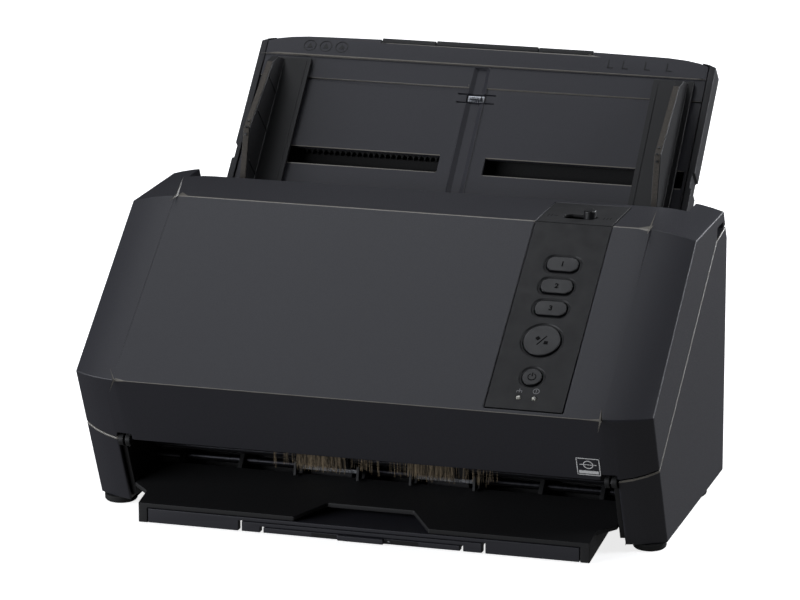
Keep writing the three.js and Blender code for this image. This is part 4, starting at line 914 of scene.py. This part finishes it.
class SCANNER_OT_stacker(bpy.types.Operator):
    """Make the stacker tray and its nested plates"""

    bl_idname = "scanner.stacker"
    bl_label = "Stacker"

    def execute(self, context):
        dressed("stacker_tray", "stacker_deck", finish_of("inside"), 0.5)
        for number in ("one", "two", "three"):
            node = "stacker_extension_" + number
            dressed(node, "stacker_plate_" + number, finish_of("shell"), 0.4)
        self.catch()
        return {"FINISHED"}

    def catch(self):
        """Near-black slabs on the plate's face each side of the inner plate's grip, a painted shade
        for the pockets there, and its small bright catch.
        """
        front = -78.3
        for side, span in (("left", (-26, -12.8)), ("right", (12.8, 30))):
            bm = bmesh.new()
            block(bm, *span, front - 0.08, front + 0.3, 1.35, 3.25)
            settle(bm, BODY_PLACE)
            name, finish = "grip_pocket_shade_" + side, finish_of("painted_shade")
            new_piece(bm, name, "stacker_extension_three", finish, 0.05)
        bm = bmesh.new()
        block(bm, 14.2, 15.4, front - 0.3, front, 1.9, 2.8)
        settle(bm, BODY_PLACE)
        new_piece(bm, "grip_catch", "stacker_extension_three", finish_of("steel"), 0.15)


class SCANNER_OT_feeder(bpy.types.Operator):
    """Make the feeder: paper guides, rollers, sensors and brushes"""

    bl_idname = "scanner.feeder"
    bl_label = "Feeder"

    def execute(self, context):
        dressed("upper_guide", "feed_ceiling", finish_of("inside"), 0.3)
        dressed("lower_guide", "feed_bed", finish_of("inside"), 0.3)
        for node in ("lower_image_sensor", "upper_image_sensor"):
            paint(node, finish_of("inside"))
        for node in ("lower_glass", "upper_glass"):
            paint(node, finish_of("glass"))
        for kind in ("pick", "feed", "eject", "brake", "pinch", "exit_pinch"):
            self.roller(kind + "_roller")
        for side in ("left", "right"):
            self.brush(side)
        return {"FINISHED"}

    def roller(self, node):
        """A steel shaft with rubber tyres: the faces beyond the shaft's radius are rubber."""
        tyre_start, tyre_end, shaft_reach = 19 * MM, 43 * MM, 2.6 * MM
        bm = merged_copy(node)
        low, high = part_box(node)
        middle = (low + high) / 2
        for face in bm.faces:
            centre = face.calc_center_median()
            reach = max(math.hypot(v.co.y - middle.y, v.co.z - middle.z) for v in face.verts)
            tyre = tyre_start < abs(centre.x) < tyre_end and reach > shaft_reach
            face.material_index = 1 if tyre else 0
        pair = [finish_of("dark_steel"), finish_of("tyre")]
        body = frame["nodes"][node]["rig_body"]
        new_piece(bm, node + "_tyres", body, pair, 0.25, 2, (node,))

    def brush(self, side):
        """Fibres hanging from a holder, thick in the middle stretches and thin elsewhere."""
        node = "exit_brush_" + side
        low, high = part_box(node)
        rng = random.Random(11 if side == "left" else 12)
        bm = bmesh.new()
        thick = sizes().fibre
        dense = (-47 * MM, -21 * MM) if side == "left" else (12.5 * MM, 37 * MM)
        for i in range(sizes().fibres):
            span = dense if i % 5 else (low.x, high.x)
            x = rng.uniform(*span)
            y = rng.uniform(low.y + thick, high.y - thick)
            length = (high.z - low.z) * rng.uniform(0.48, 0.66)
            length *= rng.choice((1.0, 1.0, 1.0, 1.25))
            top = Vector((x, y, high.z - 2 * MM))
            lean = Matrix.Rotation(rng.gauss(0, 0.05), 4, "Y")
            lean = lean @ Matrix.Rotation(rng.gauss(0, 0.03), 4, "X")
            drop = Matrix.Translation(top) @ lean @ Matrix.Translation((0, 0, -length / 2))
            shape = {"segments": 3, "radius1": thick * 0.3, "radius2": thick * 0.5, "depth": length}
            bmesh.ops.create_cone(bm, cap_ends=True, cap_tris=False, matrix=drop, **shape)
        new_piece(bm, "brush_fibres_" + side, "lid", finish_of("hair"),
                  stands_for=(node,))
        bm = bmesh.new()
        block(bm, low.x, high.x, low.y + 0.1 * MM, high.y - 0.1 * MM, high.z - 3 * MM, high.z)
        bmesh.ops.recalc_face_normals(bm, faces=bm.faces)
        new_piece(bm, "brush_holder_" + side, "lid", finish_of("dark_steel"), 0.2)


class SCANNER_OT_works(bpy.types.Operator):
    """Finish the works inside: frame plates, motor, belt, pulleys, boards and sockets"""

    bl_idname = "scanner.works"
    bl_label = "Works"

    def execute(self, context):
        for node in ("side_frame_left", "side_frame_right", "base_pan"):
            dressed(node, node + "_skin", finish_of("inside"), 0.3)
        for node in ("power_inlet", "usb_socket", "network_socket"):
            paint(node, finish_of("inside"))
        for node in ("hinge_pin_left", "hinge_pin_right", "drive_motor"):
            paint(node, finish_of("steel"))
        for node in ("motor_pulley", "pick_pulley", "feed_pulley", "eject_pulley"):
            paint(node, finish_of("gear"))
        for node in ("main_board", "button_board"):
            paint(node, finish_of("board"))
        paint("drive_belt", finish_of("belt"))
        self.exit_bars()
        self.contacts()
        return {"FINISHED"}

    def exit_bars(self):
        """The pale bars that sheets slide over as they leave, set between the exit ribs."""
        for side, span in (("left", (-46, -15)), ("right", (13.5, 46))):
            bm = bmesh.new()
            block(bm, *span, -33.6, -32.2, 21.7, 23.6)
            block(bm, *span, -34.0, -33.6, 22.1, 22.6)
            settle(bm, BODY_PLACE)
            new_piece(bm, "exit_bar_" + side, "base", finish_of("steel"), 0.15)
        outline = [(-38.5, 19.4), (-37.0, 26.4), (-33.0, 26.4), (-32.0, 19.4)]
        for i, x in enumerate((-47.5, -14, 14, 47.5)):
            bm = bmesh.new()
            slab(bm, outline, x - 0.7, x + 0.7, ACROSS)
            settle(bm, BODY_PLACE)
            new_piece(bm, f"exit_rib_{i + 1}", "base", finish_of("inside"), 0.2)

    def contacts(self):
        """The bright contacts inside the sockets."""
        bm = bmesh.new()
        rear = BACK_Y - 1
        pin = disc(bm, 0, 0, 0.9, 0, 7, 16)
        turn = Matrix.Rotation(math.radians(-90), 4, "X")
        place = Matrix.Translation((-96, rear - 8.6, 26))
        bmesh.ops.transform(bm, matrix=place @ turn, verts=pin)
        block(bm, -72.6, -67.4, rear - 8.6, rear - 2, 26.2, 27.4)
        for i in range(8):
            x = -47.6 + i * 1.02
            block(bm, x, x + 0.45, rear - 8.6, rear - 3, 29.6, 30.2)
        settle(bm, BODY_PLACE)
        new_piece(bm, "socket_contacts", "base", finish_of("contacts"), 0.1)


class SCANNER_OT_label(bpy.types.Operator):
    """Make the small plain label on the lower front"""

    bl_idname = "scanner.label"
    bl_label = "Label"

    def execute(self, context):
        bm = bmesh.new()
        x0, x1 = 110.9, 122.8
        v1, v0 = -25.4, -36.4  # the top and bottom lines, down the undercut face from the crease
        low, high = -0.02, 0.1
        line = 0.45
        block(bm, x0, x1, v0, v0 + line, low, high)
        block(bm, x0, x1, v1 - line, v1, low, high)
        block(bm, x0, x0 + line, v0, v1, low, high)
        block(bm, x1 - line, x1, v0, v1, low, high)
        block(bm, x0 + 1, x1 - 1, v0 + 1.1, v0 + 2.9, low, high)
        ring(bm, (x0 + x1) / 2, v1 - 4.2, 2.6, 2.15, low, high)
        block(bm, x0 + 1.6, x1 - 1.6, v1 - 4.4, v1 - 4.0, low, high)
        settle(bm, UNDER_PLACE)
        new_piece(bm, "front_label", "lid", finish_of("label"))
        return {"FINISHED"}


class SCANNER_OT_stage(bpy.types.Operator):
    """Set the pale floor, the soft lights and the camera"""

    bl_idname = "scanner.stage"
    bl_label = "Stage"

    def execute(self, context):
        scene = context.scene
        scene.view_settings.view_transform = "Standard"
        self.floor(scene)
        self.lights(scene)
        self.camera(scene)
        return {"FINISHED"}

    def floor(self, scene):
        """A plain pale floor that glows a little and sends no light up to the scanner."""
        bm = bmesh.new()
        bmesh.ops.create_grid(bm, x_segments=1, y_segments=1, size=30)
        mesh = bpy.data.meshes.new("floor")
        bm.to_mesh(mesh)
        bm.free()
        floor = bpy.data.objects.new("floor", mesh)
        finish, tree, at = start_finish("pale_floor")
        wash = add_node(tree, "ShaderNodeTexNoise", {"Scale": per_mm(900)}, {"Vector": at})
        tint = add_node(
            tree, "ShaderNodeMix",
            {"data_type": "RGBA", MIX_A: (0.93, 0.93, 0.93, 1), MIX_B: (0.95, 0.95, 0.95, 1)},
            {MIX_FACTOR: wash}
        )
        settings = {"Roughness": 0.9, "Emission Color": (1, 1, 1, 1), "Emission Strength": 0.8}
        links = {"Base Color": tint.outputs[MIX_RESULT]}
        mesh.materials.append(end_finish(finish, tree, settings, links))
        floor.visible_diffuse = False
        floor.visible_glossy = False
        scene.collection.objects.link(floor)

    def lights(self, scene):
        """Soft panels in a pale room, whose lower half stands for a white floor's bounce."""
        world = bpy.data.worlds.new("grey_room")
        scene.world = world
        world.use_nodes = True
        tree = world.node_tree
        toward = add_node(tree, "ShaderNodeTexCoord").outputs["Generated"]
        height = add_node(tree, "ShaderNodeSeparateXYZ", None, {"Vector": toward})
        rise = add_node(
            tree, "ShaderNodeMapRange",
            {"From Min": -0.3, "From Max": 0.05, "To Min": 3.4, "To Max": 0.5},
            {"Value": height.outputs["Z"]}
        )
        tree.links.new(rise.outputs[0], tree.nodes["Background"].inputs["Strength"])
        panels = (
            ("overhead", (-0.55, 0.45, 1.8), (-0.05, 0, 0.1), (1.5, 1.1), 11.5),
            ("left_front", (-1.3, -1.15, 0.45), (0, 0, 0.1), (1.5, 0.5), 24),
            ("right_behind", (1.2, 1.4, 0.75), (0.1, 0, 0.15), (0.8, 0.8), 28),
            ("right_high", (1.6, 0.1, 1.1), (0.15, 0, 0.15), (0.5, 0.5), 9),
        )
        for name, place, aim, size, power in panels:
            light = bpy.data.lights.new(name, "AREA")
            light.shape = "RECTANGLE"
            light.size, light.size_y = size
            light.color = (0.93, 0.955, 1.0)
            light.energy = power
            lamp = bpy.data.objects.new(name, light)
            lamp.location = place
            lamp.rotation_mode = "QUATERNION"
            lamp.rotation_quaternion = (Vector(aim) - Vector(place)).to_track_quat("-Z", "Y")
            scene.collection.objects.link(lamp)

    def camera(self, scene):
        """A long lens from the front right, a little above."""
        azimuth, elevation, roll = (math.radians(a) for a in (16.62, 15.32, -0.11))
        target = Vector((-0.0026, -0.0373, 0.1057))
        back = Vector((
            math.sin(azimuth) * math.cos(elevation),
            -math.cos(azimuth) * math.cos(elevation),
            math.sin(elevation),
        ))
        data = bpy.data.cameras.new("camera")
        data.lens = 201.0
        data.sensor_width = 36.0
        data.clip_start, data.clip_end = 0.1, 40
        camera = bpy.data.objects.new("camera", data)
        camera.location = target + back * 2.2833
        camera.rotation_mode = "QUATERNION"
        aim = (-back).to_track_quat("-Z", "Y")
        camera.rotation_quaternion = aim @ Quaternion((0, 0, 1), roll)
        scene.collection.objects.link(camera)
        scene.camera = camera


class SCANNER_PT_panel(bpy.types.Panel):
    """The scanner's operators and settings, in the sidebar"""

    bl_idname = "SCANNER_PT_panel"
    bl_label = "Document scanner"
    bl_space_type = "VIEW_3D"
    bl_region_type = "UI"
    bl_category = "Scanner"

    def draw(self, context):
        for operator in OPERATORS:
            self.layout.operator(operator.bl_idname)
        for group in (sizes(), context.scene.scanner_colours):
            for key in group.__annotations__:
                self.layout.prop(group, key)


OPERATORS = (
    SCANNER_OT_housing,
    SCANNER_OT_control_strip,
    SCANNER_OT_chute,
    SCANNER_OT_guides,
    SCANNER_OT_stacker,
    SCANNER_OT_feeder,
    SCANNER_OT_works,
    SCANNER_OT_label,
    SCANNER_OT_stage,
)
CLASSES = (ScannerColours, ScannerSizes, *OPERATORS, SCANNER_PT_panel)


def register():
    """Registers the classes and the scene's settings."""
    for cls in CLASSES:
        bpy.utils.register_class(cls)
    bpy.types.Scene.scanner_colours = bpy.props.PointerProperty(type=ScannerColours)
    bpy.types.Scene.scanner_sizes = bpy.props.PointerProperty(type=ScannerSizes)


def unregister():
    """Removes the settings and the classes."""
    del bpy.types.Scene.scanner_sizes
    del bpy.types.Scene.scanner_colours
    for cls in reversed(CLASSES):
        bpy.utils.unregister_class(cls)


def main():
    """Builds the scanner."""
    register()
    for operator in OPERATORS:
        group, action = operator.bl_idname.split(".")
        getattr(getattr(bpy.ops, group), action)()


if __name__ == "__main__":
    main()
